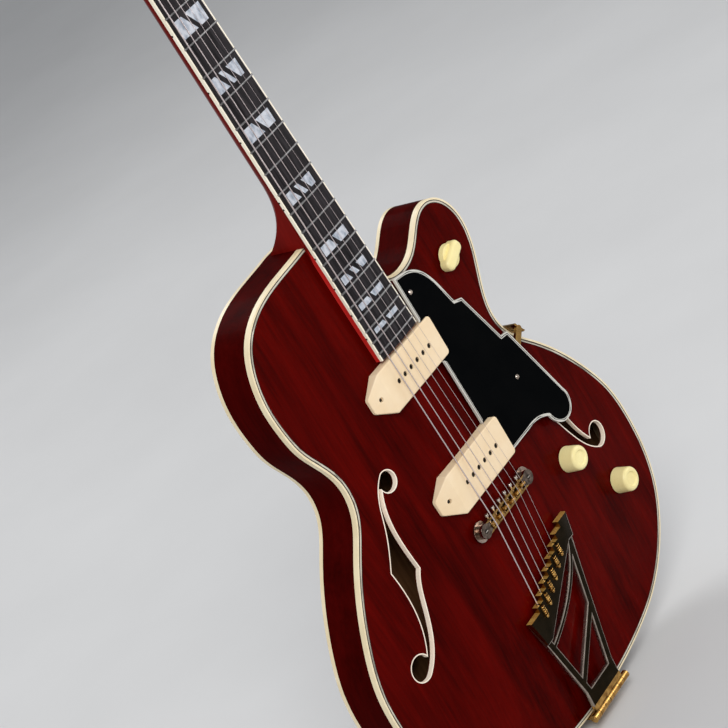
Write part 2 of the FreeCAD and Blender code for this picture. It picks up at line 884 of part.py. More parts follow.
def make_neck():
    beyond = box(-lower_bout_width, lower_bout_width, -lower_bout_width, lower_bout_width, body_length,
                 body_length + 2 * scale_length)
    shaft = moved(neck_shaft(), neck_place).common(beyond)
    low, high = board_half(board_end) - neck_inset, board_half(heel_line) - neck_inset
    riser = prism([(-low, board_end), (low, board_end), (high, heel_line + touch_gap),
                   (-high, heel_line + touch_gap)],
                  board_thickness, board_thickness + riser_depth)
    riser = moved(riser, neck_place).common(front_air)
    head = on_head(head_slab(veneer_thickness, head_thickness))
    whole = shaft.fuse([riser, tenon, head])
    front_of_head = box(-head_width, head_width, -head_width, veneer_thickness, 0, head_length)
    whole = whole.cut(on_head(front_of_head))
    whole = whole.cut([moved(truss_channel, neck_place), on_head(truss_pocket), on_head(post_holes)])
    return whole.removeSplitter()


neck = make_neck()
veneer = on_head(head_slab(0, veneer_thickness).cut([truss_pocket, post_holes]))
veneer = veneer.cut(moved(box(-head_width, head_width, -head_width, head_width, 0, nut_back), neck_place))
cover_waist = truss_pocket_high * truss_cover_waist_share
cover_shape = [(-truss_cover_half, truss_cover_low), (truss_cover_half, truss_cover_low),
               (truss_cover_half, cover_waist), (truss_cover_half / 2, truss_cover_high),
               (-truss_cover_half / 2, truss_cover_high), (-truss_cover_half, cover_waist)]
truss_cover = on_head(prism(cover_shape, -truss_cover_thickness, 0))

save("truss_rod", moved(truss_rod, neck_place))
save("tuner_bushings", *[on_head(tuner_bushing(x, z)) for side, x, z in tuners])
for index, (side, x, z) in enumerate(string_tuners):
    save("tuner_post_" + str(index + 1), on_head(tuner_post(x, z)))
    save("tuner_button_" + str(index + 1), on_head(tuner_button(side, x, z)))
    print("tuner", index + 1, "post", head_place.multVec(vec(x, 0, z)), "shaft",
          head_place.multVec(vec(x, worm_y, z + worm_offset)))
print("head ways", head_place.Rotation.multVec(FRONT), head_place.Rotation.multVec(X_WAY))

# Strings: from the tailpiece over the saddle and the nut to the post, with the turns wound on

tail_place = FreeCAD.Placement(vec(0, front_y(hinge_rise), hinge_z), FreeCAD.Rotation(X_WAY, tail_tilt))


def crossbar_line(x):
    """Front edge of the tailpiece's crossbar, before it is stepped."""
    return crossbar_z + x * crossbar_slope_share


def string_tail(index):
    x = string_shares()[index] * string_half_tail
    return tail_place.multVec(vec(x, -string_height_tail, crossbar_line(x) - slot_length))


def saddle_rest(index):
    """How far a saddle's crest stands from the bridge line at rest."""
    return -saddle_setback - saddle_travel * saddle_setback_shares[index]


def string_at_saddle(index):
    x = string_shares()[index] * string_half_bridge
    return neck_place.multVec(vec(x, crown(x) - string_height_bridge, saddle_rest(index)))


def corner_arc(before, corner, after, radius):
    """Round a corner of a string: the arc and the two places where it starts and ends."""
    way_in = corner.sub(before).normalize()
    way_out = after.sub(corner).normalize()
    turn = way_in.getAngle(way_out)
    reach = radius * tan(turn / 2)
    start = corner.sub(vec(way_in.x, way_in.y, way_in.z).multiply(reach))
    end = corner.add(vec(way_out.x, way_out.y, way_out.z).multiply(reach))
    inwards = way_out.sub(way_in).normalize()
    centre = corner.add(vec(inwards.x, inwards.y, inwards.z).multiply(radius / cos(turn / 2)))
    middle = centre.sub(inwards.multiply(radius))
    return Part.Arc(start, middle, end).toShape(), start, end


def half_way(start, end):
    return start.add(end).multiply(1 / 2)


def arc_from(start, way, end):
    """Arc that leaves start along a way and ends at end."""
    chord = end.sub(start)
    half = chord.Length / 2
    across = way.sub(chord.normalize().multiply(way.dot(chord)))
    if across.Length < tiny:
        return line(start, end)
    angle = asin(min(1, across.Length))
    middle = half_way(start, end).add(across.normalize().multiply(half * tan(angle / 2)))
    return Part.Arc(start, middle, end).toShape()


def biarc(start, start_way, end, end_way):
    """Two arcs that join two places smoothly."""
    gap = end.sub(start)
    ways = start_way.add(end_way)
    a = ways.dot(ways) - 4
    b = -2 * gap.dot(ways)
    c = gap.dot(gap)
    reach = c / -b if abs(a) < tiny else (-b - sqrt(b * b - 4 * a * c)) / (2 * a)
    first = start.add(vec(start_way.x, start_way.y, start_way.z).multiply(reach))
    last = end.sub(vec(end_way.x, end_way.y, end_way.z).multiply(reach))
    joint = half_way(first, last)
    joint_way = last.sub(first).normalize()
    return [arc_from(start, start_way, joint), arc_from(joint, joint_way, end)]


def on_wrap(index, turn):
    """Place and way on the round path about a post, entered on the side next to the middle of the head."""
    radius = string_diameters[index] / 2
    side, x, z = string_tuners[index]
    wrap = post_waist + free_gap + radius
    pitch = 2 * radius + string_wrap_spacing
    foot = head_place.inverse().multVec(neck_place.multVec(nut_point(index)))
    away, along = x - foot.x, z - foot.z
    lean = asin(wrap / hypot(away, along))
    wind = -side
    at = atan2(along, away) + side * (lean + pi / 2) + wind * turn
    height = string_wrap_height + pitch * turn / (2 * pi)
    place = vec(x + wrap * cos(at), -height, z + wrap * sin(at))
    way = vec(-wind * wrap * sin(at), -pitch / (2 * pi), wind * wrap * cos(at)).normalize()
    return head_place.multVec(place), head_place.Rotation.multVec(way)


def string_wire(index):
    tail, saddle = string_tail(index), string_at_saddle(index)
    nut = neck_place.multVec(nut_point(index))
    over_saddle, saddle_start, saddle_end = corner_arc(tail, saddle, nut, string_bend)
    entry_place = on_wrap(index, 0)[0]
    over_nut, nut_start, nut_end = corner_arc(saddle, nut, entry_place, string_bend)
    way = entry_place.sub(nut_end).normalize()
    lead = entry_place.sub(vec(way.x, way.y, way.z).multiply(string_lead))
    edges = [line(tail, saddle_start), over_saddle, line(saddle_end, nut_start), over_nut,
             line(nut_end, lead)]
    place, heading_way = lead, way
    for quarter in range(1, 4 * string_wrap_turns + 1):
        next_place, next_way = on_wrap(index, quarter * pi / 2)
        edges += biarc(place, heading_way, next_place, next_way)
        place, heading_way = next_place, next_way
    print("string", index + 1, "length", round(sum(edge.Length for edge in edges)), "gap in its turns",
          round(string_wrap_spacing, 2))
    return Part.Wire(edges)


def string_tube(index):
    wire = string_wire(index)
    start = string_tail(index)
    way = string_at_saddle(index).sub(start).normalize()
    ring = Part.Wire([Part.Circle(start, way, string_diameters[index] / 2).toShape()])
    return wire.makePipeShell([ring], True, False)


def string_ball(index):
    start = string_tail(index)
    way = string_at_saddle(index).sub(start).normalize()
    return rod(ball_radius, start.sub(way.multiply(2 * ball_radius)), start)


strings = [string_tube(index) for index in range(len(string_diameters))]
balls = [string_ball(index) for index in range(len(string_diameters))]
save("strings", *strings, *balls)

# Nut: each slot follows its string in and out


def nut_slot(start, end, room):
    corners = [start.add(vec(-room, room, 0)), end.add(vec(-room, room, 0)),
               vec(end.x - room, -overrun, end.z), vec(start.x - room, -overrun, start.z)]
    return outward(Part.Face(Part.makePolygon(corners + corners[:1])).extrude(vec(2 * room, 0, 0)))


def make_nut():
    half = nut_width / 2
    blank = box(-half, half, crown(half) - nut_height, board_thickness, scale_length, nut_back)
    for index, diameter in enumerate(string_diameters):
        point = nut_point(index)
        room = diameter / 2 + nut_slot_room
        for target in (string_at_saddle(index), on_wrap(index, 0)[0]):
            way = neck_place.inverse().multVec(target).sub(point).normalize()
            end = point.add(vec(way.x, way.y, way.z).multiply(overrun))
            start = point.sub(way.multiply(nut_slot_room))
            blank = blank.cut(nut_slot(start, end, room))
    return blank


save("nut", moved(make_nut(), neck_place))

# Pickups: cover with a sloping ear on the bass side and a low tab on the treble side

def is_upright(edge):
    return edge.BoundBox.XLength < touch_gap and edge.BoundBox.ZLength < touch_gap


def ear_height(x, z, top):
    """Height of the ear's sloping face, which falls from the cover's top to the ear's tip."""
    edge = top_height(-cover_half - ear_reach, z) + ear_edge
    return top + (edge - top) * (-x - cover_half) / ear_reach


def pickup_cover(z, top):
    low = front_y(0)
    body = box(-cover_half, cover_half, front_y(top), low, z - cover_half_width, z + cover_half_width)
    tip = cover_half + ear_reach
    edge = ear_height(-tip, z, top)
    root_face = [vec(-cover_half, front_y(top), z - cover_half_width),
                 vec(-cover_half, front_y(top), z + cover_half_width)]
    tip_face = [vec(-tip, front_y(edge), z - ear_tip_half), vec(-tip, front_y(edge), z + ear_tip_half)]
    root_wire = Part.makePolygon([root_face[0], root_face[1], vec(-cover_half, low, z + cover_half_width),
                                  vec(-cover_half, low, z - cover_half_width), root_face[0]])
    tip_wire = Part.makePolygon([tip_face[0], tip_face[1], vec(-tip, low, z + ear_tip_half),
                                 vec(-tip, low, z - ear_tip_half), tip_face[0]])
    ear = outward(Part.makeLoft([root_wire, tip_wire], True, True))
    whole = body.fuse(ear).removeSplitter()
    corners = [edge for edge in whole.Edges
               if is_upright(edge) and abs(edge.CenterOfMass.x + cover_half) > touch_gap]
    whole = whole.makeFillet(cover_corner, corners)
    rims = [edge for edge in whole.Edges if not is_upright(edge) and edge.BoundBox.YMax < low - touch_gap]
    whole = whole.makeFillet(cover_round, rims)
    tab = box(cover_half - cover_wall, tip, front_y(top_height(tip, z) + ear_tab), low, z - ear_tip_half,
              z + ear_tip_half)
    hollow = box(-cover_half + cover_wall, cover_half - cover_wall, front_y(top - cover_wall), low + overrun,
                 z - cover_half_width + cover_wall, z + cover_half_width - cover_wall)
    whole = whole.fuse(tab).cut(hollow)
    for place in pole_places(z):
        whole = whole.cut(rod(pole_hole_radius, vec(place.x, front_y(top + overrun), z),
                              vec(place.x, low, z)))
    seat = ear_seat(z, top)
    well = rod(ear_screw_head + free_gap, seat, seat.add(vec(0, -overrun, 0)))
    return whole.cut(well).common(front_air)


def ear_seat(z, top):
    return vec(-ear_screw_x, front_y(ear_height(-ear_screw_x, z, top) - ear_screw_sink), z)


def pole_places(z):
    first = -pole_spacing * (pole_count - 1) / 2
    return [vec(first + pole_spacing * index, 0, z) for index in range(pole_count)]


def pickup_coil(z, top):
    half = cover_half - cover_wall - coil_inset
    half_width = cover_half_width - cover_wall - coil_inset
    coil = box(-half, half, front_y(top - cover_wall), front_y(top - coil_depth), z - half_width,
               z + half_width)
    return coil.cut(Part.makeCompound([rod(pole_radius, vec(place.x, front_y(top), z),
                                           vec(place.x, front_y(top - coil_depth), z))
                                       for place in pole_places(z)]))


def pickup_rout(z):
    half = cover_half - cover_wall - coil_inset + free_gap
    half_width = cover_half_width - cover_wall - coil_inset + free_gap
    return box(-half, half, front_y(tall), front_y(-tall / 2), z - half_width, z + half_width)


def pole_screw(x, z, top):
    profile = [(0, -coil_depth + coil_inset), (pole_radius, -coil_depth + coil_inset),
               (pole_radius, -pole_sink), (0, -pole_sink)]
    piece = lathe(profile, vec(x, front_y(top), z), FRONT)
    slot = box(x - pole_radius, x + pole_radius, front_y(top - pole_sink), front_y(top - 2 * pole_sink),
               z - pole_slot / 2,
               z + pole_slot / 2)
    return piece.cut(slot)


for name, z, top in pickup_places:
    ear_screw_depth = ear_height(-ear_screw_x, z, top) - ear_screw_sink - top_height(-ear_screw_x, z)
    add_screw(ear_seat(z, top), BACK, ear_screw_depth + ear_screw_bite, ear_screw_head)
covers = {name: pickup_cover(z, top) for name, z, top in pickup_places}
save("pickup_coils", *[pickup_coil(z, top) for name, z, top in pickup_places])
save("pole_screws",
     *[pole_screw(place.x, z, top) for name, z, top in pickup_places for place in pole_places(z)])

# Pickguard, in its own plane: drawn in plan, then tilted

guard_place = FreeCAD.Placement(vec(0, front_y(guard_rise), guard_top), FreeCAD.Rotation(X_WAY, -guard_tilt))


def guard_edges():
    def at(point):
        return vec(point[0], 0, point[1] - guard_top)

    def run(points):
        return curve_through([at(point) for point in points]).toShape()

    side = cover_half + guard_room
    notch = cover_half_width + guard_room
    neck_z, bridge_z = pickup_places[0][1], pickup_places[1][1]
    start = (guard_inner, guard_top)
    corner = guard_shoulder[-1]
    step = (corner[0] + guard_step_x, corner[1] - guard_step_z)
    waist_step = (guard_waist[0] + guard_waist_step_x, guard_waist[1] - guard_waist_step_z)
    foot = (side, guard_foot[-1][1])
    rest = [foot, (side, bridge_z + notch), (guard_inner, bridge_z + notch), (guard_inner, neck_z - notch),
            (side, neck_z - notch), (side, neck_z + notch), (guard_inner, neck_z + notch), start]
    outer = [corner, step, guard_waist, waist_step, guard_tip[0]]
    edges = [run([start] + guard_shoulder)]
    edges += [line(at(first), at(second)) for first, second in zip(outer, outer[1:])]
    edges += [run(guard_tip), run([guard_tip[-1]] + guard_foot), line(at(guard_foot[-1]), at(foot))]
    edges += [line(at(first), at(second)) for first, second in zip(rest, rest[1:])]
    return edges


def guard_layer(face, front, depth):
    piece = face.copy()
    piece.translate(vec(0, front, 0))
    return moved(outward(piece.extrude(vec(0, depth, 0))), guard_place)


guard_whole = Part.Face(Part.Wire(guard_edges()))
guard_core = inset_face(guard_edges(), guard_border)
guard_edge = guard_layer(guard_whole.cut(guard_core).Faces[0], 0, guard_thickness)
guard_sheet = guard_layer(guard_core, 0, guard_thickness)
for x, z in (guard_post, bracket_arm_start):
    add_screw(guard_place.multVec(vec(x, 0, z - guard_top)), guard_place.Rotation.multVec(BACK),
              guard_thickness + bracket_arm_height)


def band(points, width, y_low, y_high):
    """Strip of one width along a line or a curve through (x, z) points."""
    curve = curve_through([vec(x, 0, z) for x, z in points])
    first, last = curve.FirstParameter, curve.LastParameter
    left, right = [], []
    for index in range(band_samples + 1):
        parameter = first + (last - first) * index / band_samples
        way = curve.tangent(parameter)[0]
        across = vec(-way.z, 0, way.x).multiply(width / 2)
        left.append(curve.value(parameter).add(across))
        right.append(curve.value(parameter).sub(across))
    edges = [curve_through(left).toShape(), line(left[-1], right[-1]), curve_through(right).toShape(),
             line(right[0], left[0])]
    face = Part.Face(Part.Wire(Part.__sortEdges__(edges)))
    face.translate(vec(0, y_low, 0))
    return outward(face.extrude(vec(0, y_high - y_low, 0)))


def straight_bar(start, end, width, y_low, y_high):
    way = vec(end[0] - start[0], 0, end[1] - start[1]).normalize().multiply(width / 2)
    corners = [(start[0] - way.z, start[1] + way.x), (start[0] + way.z, start[1] - way.x),
               (end[0] + way.z, end[1] - way.x), (end[0] - way.z, end[1] + way.x)]
    whole = prism(corners, y_low, y_high)
    for x, z in (start, end):
        whole = whole.fuse(rod(width / 2, vec(x, y_low, z), vec(x, y_high, z)))
    return whole


def guard_bracket():
    start = (bracket_arm_start[0], bracket_arm_start[1] - guard_top)
    end = (bracket_arm_end[0], bracket_arm_end[1] - guard_top)
    arm = moved(straight_bar(start, end, bracket_arm_width, guard_thickness,
                             guard_thickness + bracket_arm_height), guard_place)
    foot = outline_ring(-bracket_foot_thickness - touch_gap, bracket_foot_thickness,
                        front_y(bracket_foot_high),
                        front_y(bracket_foot_low))
    half = bracket_foot_length / 2
    foot = foot.common(box(0, lower_bout_width, -tall, tall, bracket_arm_end[1] - half,
                           bracket_arm_end[1] + half))
    return arm.fuse(foot).removeSplitter()


def guard_spacer():
    x, z = guard_post
    post = moved(rod(guard_post_radius, vec(x, guard_thickness, z - guard_top),
                     vec(x, tall / 2, z - guard_top)), guard_place)
    return post.common(front_air)


bracket = guard_bracket()
spacer = guard_spacer()

# Bridge: studs, frame with pockets, saddles, screws and thumbwheels

bridge_z = bridge_line + bridge_shift
bridge_low = bridge_top - bridge_thickness
pocket_half = saddle_width / 2 + saddle_side_room
pocket_low = bridge_z - pocket_length / 2
pocket_high = bridge_z + pocket_length / 2
screw_y = front_y(bridge_top - saddle_screw_drop)


def string_x(index):
    return string_shares()[index] * string_half_bridge


def bridge_frame():
    half = post_spacing / 2
    whole = box(-half, half, front_y(bridge_top), front_y(bridge_low), bridge_z - bridge_half_width,
                bridge_z + bridge_half_width)
    for x in (-half, half):
        whole = whole.fuse(rod(bridge_end_radius, vec(x, front_y(bridge_low), bridge_z),
                               vec(x, front_y(bridge_top), bridge_z)))
    whole = whole.removeSplitter()
    for x in (-half, half):
        whole = whole.cut(rod(stud_radius + running_gap, vec(x, 0, bridge_z), vec(x, -2 * tall, bridge_z)))
    for index in range(len(string_diameters)):
        x = string_x(index)
        pocket = box(x - pocket_half, x + pocket_half, front_y(bridge_top + overrun),
                     front_y(bridge_low + bridge_floor),
                     pocket_low, pocket_high)
        hole = rod(saddle_screw_radius, vec(x, screw_y, bridge_z - overrun),
                   vec(x, screw_y, bridge_z + overrun))
        whole = whole.cut([pocket, hole])
    return whole


def saddle(index):
    x = string_x(index)
    crest = string_at_saddle(index)
    floor = front_y(bridge_low + bridge_floor + saddle_base_room)
    peak = crest.y + string_diameters[index] / 2 + string_room
    shoulder = front_y(bridge_top)
    low, high = crest.z - saddle_length / 2, crest.z + saddle_length / 2
    crown_half = saddle_length * saddle_peak_share
    corners = [vec(x, floor, low), vec(x, floor, high), vec(x, shoulder, high),
               vec(x, peak, crest.z + crown_half),
               vec(x, peak, crest.z - crown_half), vec(x, shoulder, low)]
    face = Part.Face(Part.makePolygon(corners + corners[:1]))
    face.translate(vec(-saddle_width / 2, 0, 0))
    piece = outward(face.extrude(vec(saddle_width, 0, 0)))
    hole = rod(saddle_screw_radius + saddle_side_room, vec(x, screw_y, low - overrun),
               vec(x, screw_y, high + overrun))
    print("saddle", index + 1, "room to the nut side", round(pocket_high - saddle_base_room - high, 3))
    return piece.cut(hole)


def saddle_screw(index):
    x = string_x(index)
    end = bridge_z + bridge_half_width
    profile = [(0, bridge_half_width * -2), (saddle_screw_radius, bridge_half_width * -2),
               (saddle_screw_radius, saddle_screw_reach), (saddle_screw_head, saddle_screw_reach),
               (saddle_screw_head, saddle_screw_reach + saddle_screw_head_length),
               (0, saddle_screw_reach + saddle_screw_head_length)]
    return lathe(profile, vec(x, screw_y, end), Z_WAY)


def thumbwheel(x):
    high = bridge_low - running_gap
    wheel = toothed_disc(thumbwheel_root, thumbwheel_radius, thumbwheel_teeth, 0, thumbwheel_thickness)
    wheel = wheel.cut(Part.makeCylinder(stud_radius + running_gap, 2 * thumbwheel_thickness,
                                        vec(0, 0, -thumbwheel_thickness / 2)))
    wheel.Placement = FreeCAD.Placement(vec(x, front_y(high - thumbwheel_thickness), bridge_z),
                                        FreeCAD.Rotation(Z_WAY, FRONT))
    return wheel


def bridge_stud(x):
    start = top_height(x, bridge_z)
    return rod(stud_radius, vec(x, front_y(start - stud_sink), bridge_z),
               vec(x, front_y(bridge_top + stud_proud), bridge_z))


stud_places = (-post_spacing / 2, post_spacing / 2)
studs = [bridge_stud(x) for x in stud_places]
save("bridge_frame", bridge_frame())
save("saddle_screws", *[saddle_screw(index) for index in range(len(string_diameters))])
for index in range(len(string_diameters)):
    save("saddle_" + str(index + 1), saddle(index))
save("thumbwheel_bass", thumbwheel(stud_places[0]))
save("thumbwheel_treble", thumbwheel(stud_places[1]))
save("bridge_studs", *studs)

# Tailpiece: knuckles, rails, struts and the slanted crossbar in one casting, turning on the bracket's pin

frame_front = -frame_rise
frame_back = frame_thickness - frame_rise


def knuckle(index, bore):
    length = 2 * hinge_half / knuckle_count
    low = -hinge_half + index * length + free_gap / 2
    high = low + length - free_gap
    ring = rod(hinge_radius, vec(low, 0, 0), vec(high, 0, 0))
    return ring.cut(rod(bore, vec(low - overrun, 0, 0), vec(high + overrun, 0, 0)))


def knuckle_room(index):
    length = 2 * hinge_half / knuckle_count
    low = -hinge_half + index * length
    return rod(hinge_radius + free_gap, vec(low - free_gap / 2, 0, 0), vec(low + length + free_gap / 2, 0, 0))


def frame_half(z):
    return frame_foot_half + z * frame_spread_share


def crossbar_corner(side):
    """Where the crossbar's back edge meets the inner edge of a rail."""
    lean = side * crossbar_back_slope_share
    z = (crossbar_back_z + lean * (frame_foot_half - rail_width)) / (1 - lean * frame_spread_share)
    return side * (frame_half(z) - rail_width), z


def stepped_edge():
    """Front edge of the crossbar from the bass side: a step for each string and some beyond."""
    spacing = 2 * string_half_tail / (len(string_diameters) - 1)
    corners = []
    for step in range(-1, len(string_diameters) + 2):
        x = -string_half_tail + step * spacing
        corners += [(x - spacing / 2, crossbar_line(x)), (x + spacing / 2, crossbar_line(x))]
    low, high = corners[0][1], corners[-1][1]
    return [(-frame_half(low), low)] + corners[1:-1] + [(frame_half(high), high)]


def string_slots():
    slots = []
    for index, diameter in enumerate(string_diameters):
        start = tail_place.inverse().multVec(string_tail(index))
        way = tail_place.inverse().Rotation.multVec(string_at_saddle(index).sub(string_tail(index)))
        room = diameter / 2 + slot_room
        end = start.add(way.multiply(slot_reach / way.Length))
        corners = [(start.x - room, start.z - overrun / 4), (start.x + room, start.z - overrun / 4),
                   (end.x + room, end.z), (end.x - room, end.z)]
        slots.append(prism(corners, -tall, start.y + room))
        pocket = ball_radius + ball_room
        slots.append(box(start.x - pocket, start.x + pocket, -tall, start.y + pocket,
                         start.z - 2 * ball_radius - ball_room,
                         start.z + ball_room))
    return slots


def tailpiece_frame():
    foot_half = frame_half(tail_plate_high)
    bass_back, treble_back = crossbar_corner(-1), crossbar_corner(1)
    foot = [(foot_half, tail_plate_high), (foot_half, 0), (-foot_half, 0), (-foot_half, tail_plate_high)]
    outer = prism(stepped_edge() + foot, frame_front, frame_back)
    window = prism([(rail_width - foot_half, tail_plate_high), bass_back, treble_back,
                    (foot_half - rail_width, tail_plate_high)], -overrun, overrun)
    back_edge = [(frame_half(treble_back[1]), treble_back[1]), treble_back, bass_back,
                 (-frame_half(bass_back[1]), bass_back[1])]
    crossbar = prism(stepped_edge() + back_edge, frame_front - crossbar_proud, frame_back)
    struts = [straight_bar(strut_straight_ends[0], strut_straight_ends[1], strut_straight_width, frame_front,
                           frame_back),
              band(strut_curved_points, strut_curved_width, frame_front, frame_back)]
    whole = outer.cut(window).fuse([strut.common(outer) for strut in struts] + [crossbar])
    whole = whole.fuse([knuckle(index, hinge_pin_radius / 2) for index in range(1, knuckle_count, 2)])
    rooms = [knuckle_room(index) for index in range(0, knuckle_count, 2)]
    bore = rod(hinge_pin_radius + running_gap, vec(-2 * hinge_half, 0, 0), vec(2 * hinge_half, 0, 0))
    return whole.cut(rooms + [bore] + string_slots()).removeSplitter()


def tail_bracket():
    place = FreeCAD.Placement(vec(0, front_y(hinge_rise), hinge_z), FreeCAD.Rotation())
    low, high = -tail_bracket_thickness - touch_gap, -touch_gap
    sheet = box(-tail_bracket_half, tail_bracket_half, front_y(hinge_rise), front_y(-tail_bracket_reach),
                low, high)
    whole = sheet.fuse([moved(knuckle(index, hinge_pin_radius / 2), place)
                        for index in range(0, knuckle_count, 2)])
    rooms = [moved(knuckle_room(index), place) for index in range(1, knuckle_count, 2)]
    pin = rod(hinge_pin_radius, vec(-hinge_half, 0, 0), vec(hinge_half, 0, 0))
    pin = moved(pin, place)
    return whole.cut(rooms + [pin]).removeSplitter(), pin


for side in (-1, 1):
    add_screw(vec(side * tail_bracket_half * tail_screw_share,
                  front_y(-tail_bracket_reach + screw_head_radius + touch_gap),
                  -tail_bracket_thickness - touch_gap), Z_WAY,
              tail_block_length / 2)
tail_plate, hinge_pin = tail_bracket()
save("tailpiece_frame", moved(tailpiece_frame(), tail_place))

# Knobs on their shafts, pots and switch under the top

def control_profile(height):
    return [(0, 0), (knob_radius, 0), (knob_top_radius, height), (knob_dish_radius, height),
            (knob_dish_radius - knob_dish_depth, height - knob_dish_depth), (0, height - knob_dish_depth)]


def control_knob(x, z):
    base = vec(x, front_y(top_height(x, z) + knob_lift), z)
    knob = lathe(control_profile(knob_height), base, FRONT)
    rims = [edge for edge in knob.Edges if abs(edge.BoundBox.YMin - base.y + knob_height) < touch_gap
            and edge.BoundBox.XLength > 2 * knob_dish_radius + touch_gap]
    knob = knob.makeFillet(knob_round, rims)
    return knob.cut(rod(control_shaft_radius, base, base.add(vec(0, -knob_bore_depth, 0))))


def control_shaft(x, z, bore_depth):
    top = top_height(x, z)
    return rod(control_shaft_radius, vec(x, front_y(top - plate_thickness - control_drop), z),
               vec(x, front_y(top + knob_lift + bore_depth), z))


def control_can(x, z):
    top = top_height(x, z)
    bore = control_shaft_radius + running_gap
    low = -plate_thickness - control_drop
    profile = [(0, low - pot_height), (pot_radius, low - pot_height), (pot_radius, low + control_drop / 2),
               (control_bushing_radius, low + control_drop / 2),
               (control_bushing_radius, control_bushing_rise), (bore, control_bushing_rise),
               (bore, low - running_gap), (0, low - running_gap)]
    return lathe(profile, vec(x, front_y(top), z), FRONT)


def control_hole(x, z):
    return rod(control_bushing_radius, vec(x, front_y(tall), z), vec(x, front_y(-tall / 2), z))


def selector_knob():
    base = vec(selector_x, front_y(top_height(selector_x, selector_z) + knob_lift), selector_z)
    skirt = lathe([(0, 0), (selector_skirt_radius, 0),
                   (selector_skirt_radius * selector_skirt_share, selector_skirt_height),
                   (0, selector_skirt_height)], base, FRONT)
    half, half_width = selector_bar_length / 2, selector_bar_width / 2
    bar = box(-half, half, -selector_bar_height, 0, -half_width, half_width)
    uprights = [edge for edge in bar.Edges if edge.BoundBox.YLength > selector_bar_height / 2]
    bar = bar.makeFillet(half_width * selector_round_share, uprights)
    tops = [edge for edge in bar.Edges if edge.BoundBox.YMax < -selector_bar_height + touch_gap]
    bar = bar.makeFillet(selector_bar_round, tops)
    bar = moved(bar, FreeCAD.Placement(base, FreeCAD.Rotation(BACK, -selector_turn)))
    knob = skirt.fuse(bar).removeSplitter()
    return knob.cut(rod(control_shaft_radius, base, base.add(vec(0, -selector_bar_height / 2, 0))))


for name, x, z in knob_places:
    save(name + "_knob", control_knob(x, z), control_shaft(x, z, knob_bore_depth))
save("selector_knob", selector_knob(), control_shaft(selector_x, selector_z, selector_bar_height / 2))
save("control_pots", *[control_can(x, z) for name, x, z in knob_places])
save("switch_body", control_can(selector_x, selector_z))
control_holes = [control_hole(x, z) for name, x, z in knob_places] + [control_hole(selector_x, selector_z)]

# Output jack and strap buttons

jack_parameter = outline.FirstParameter + (outline.LastParameter - outline.FirstParameter) * jack_share
jack_way = outline.tangent(jack_parameter)[0]
jack_out = vec(jack_way.z, 0, -jack_way.x)
jack_place = outline.value(jack_parameter)
jack = lathe([(jack_bore_radius, -jack_length), (jack_radius, -jack_length), (jack_radius, 0),
              (jack_flange_radius, 0),
              (jack_flange_radius * jack_flange_share, jack_flange_thickness),
              (jack_bore_radius, jack_flange_thickness)], jack_place, jack_out)
jack_hole = rod(jack_radius, jack_place.sub(vec(jack_out.x, 0, jack_out.z).multiply(jack_length)),
                jack_place.add(vec(jack_out.x, 0, jack_out.z).multiply(overrun)))
save("output_jack", jack)
print("jack at", jack_place, "out", jack_out)


def strap_button(place, way):
    neck_length = strap_length - strap_head_thickness
    profile = [(0, -strap_shank_length), (strap_shank_radius, -strap_shank_length), (strap_shank_radius, 0),
               (button_collar_radius, 0),
               (strap_waist_radius, neck_length / 2), (strap_waist_radius, neck_length),
               (strap_head_radius, neck_length + strap_head_thickness / 3),
               (strap_head_radius, strap_length - strap_head_thickness / 3),
               (strap_head_radius * strap_rim_share, strap_length), (0, strap_length)]
    return lathe(profile, place, way)


def strap_hole(place, way):
    return rod(strap_shank_radius, place.add(vec(way.x, way.y, way.z).multiply(overrun)),
               place.sub(vec(way.x, way.y, way.z).multiply(strap_shank_length)))


back_height = top_height(0, back_button_z) * back_arch / top_arch
back_button = vec(0, rim_depth / 2 + back_height - button_sink, back_button_z)
button_seat = rod(button_collar_radius + touch_gap, back_button, back_button.add(vec(0, overrun, 0)))
buttons = [(vec(0, 0, 0), vec(0, 0, -1)), (back_button, BACK)]
print("back button at", back_button)
button_holes = [strap_hole(place, way) for place, way in buttons]
save("strap_buttons", *[strap_button(place, way) for place, way in buttons])

# Body pieces, with every hole cut

holes = screw_holes()
plate_inset = binding_width + sum(ply_widths)
top_slab = layer(front_face, 0, plate_thickness)
routs = [pickup_rout(z) for name, z, top in pickup_places]
top_blank = top_slab.common(outline_prism(plate_inset, -2 * tall, tall))
f_slab = layer(front_face, 0, f_binding_depth)
f_bindings = [cut.cut(opening).common(f_slab) for cut, opening in zip(f_cuts, f_openings)]
top_plate = top_blank.cut(f_openings).cut(f_bindings)
save("top_plate", top_plate.cut(routs + control_holes + studs + [tenon, holes]))
save("f_hole_bindings", *f_bindings)
plies = []
for index, width in enumerate(ply_widths):
    inset = binding_width + sum(ply_widths[:index])
    plies.append(outline_ring(inset, width, -2 * tall, tall).common(top_slab))
save("top_purfling", *[ply.cut(tenon) for ply in plies])
front_binding = outline_ring(0, binding_width, front_y(0), front_y(-binding_height)).cut(tenon)
back_binding = outline_ring(0, back_binding_width, rim_depth / 2 - back_binding_height, rim_depth / 2)
save("body_bindings", front_binding, back_binding)
back_slab = layer(back_face, 0, -plate_thickness)
back_plate = back_slab.common(outline_prism(back_binding_width, -tall, 2 * tall))
save("back_plate", back_plate.cut([button_seat] + button_holes))
rim = outline_ring(0, rim_thickness, front_y(-binding_height), rim_depth / 2 - back_binding_height)
save("rim", rim.cut([tenon, jack_hole, holes] + button_holes))
inner_front = front_y(-plate_thickness - touch_gap)
inner_back = -inner_front
room_inside = outline_prism(rim_thickness, inner_front, inner_back)
neck_block = box(-neck_block_half, neck_block_half, inner_front, inner_back,
                 body_length - neck_block_length, body_length + overrun)
tail_block = box(-tail_block_half, tail_block_half, inner_front, inner_back, -overrun, tail_block_length)


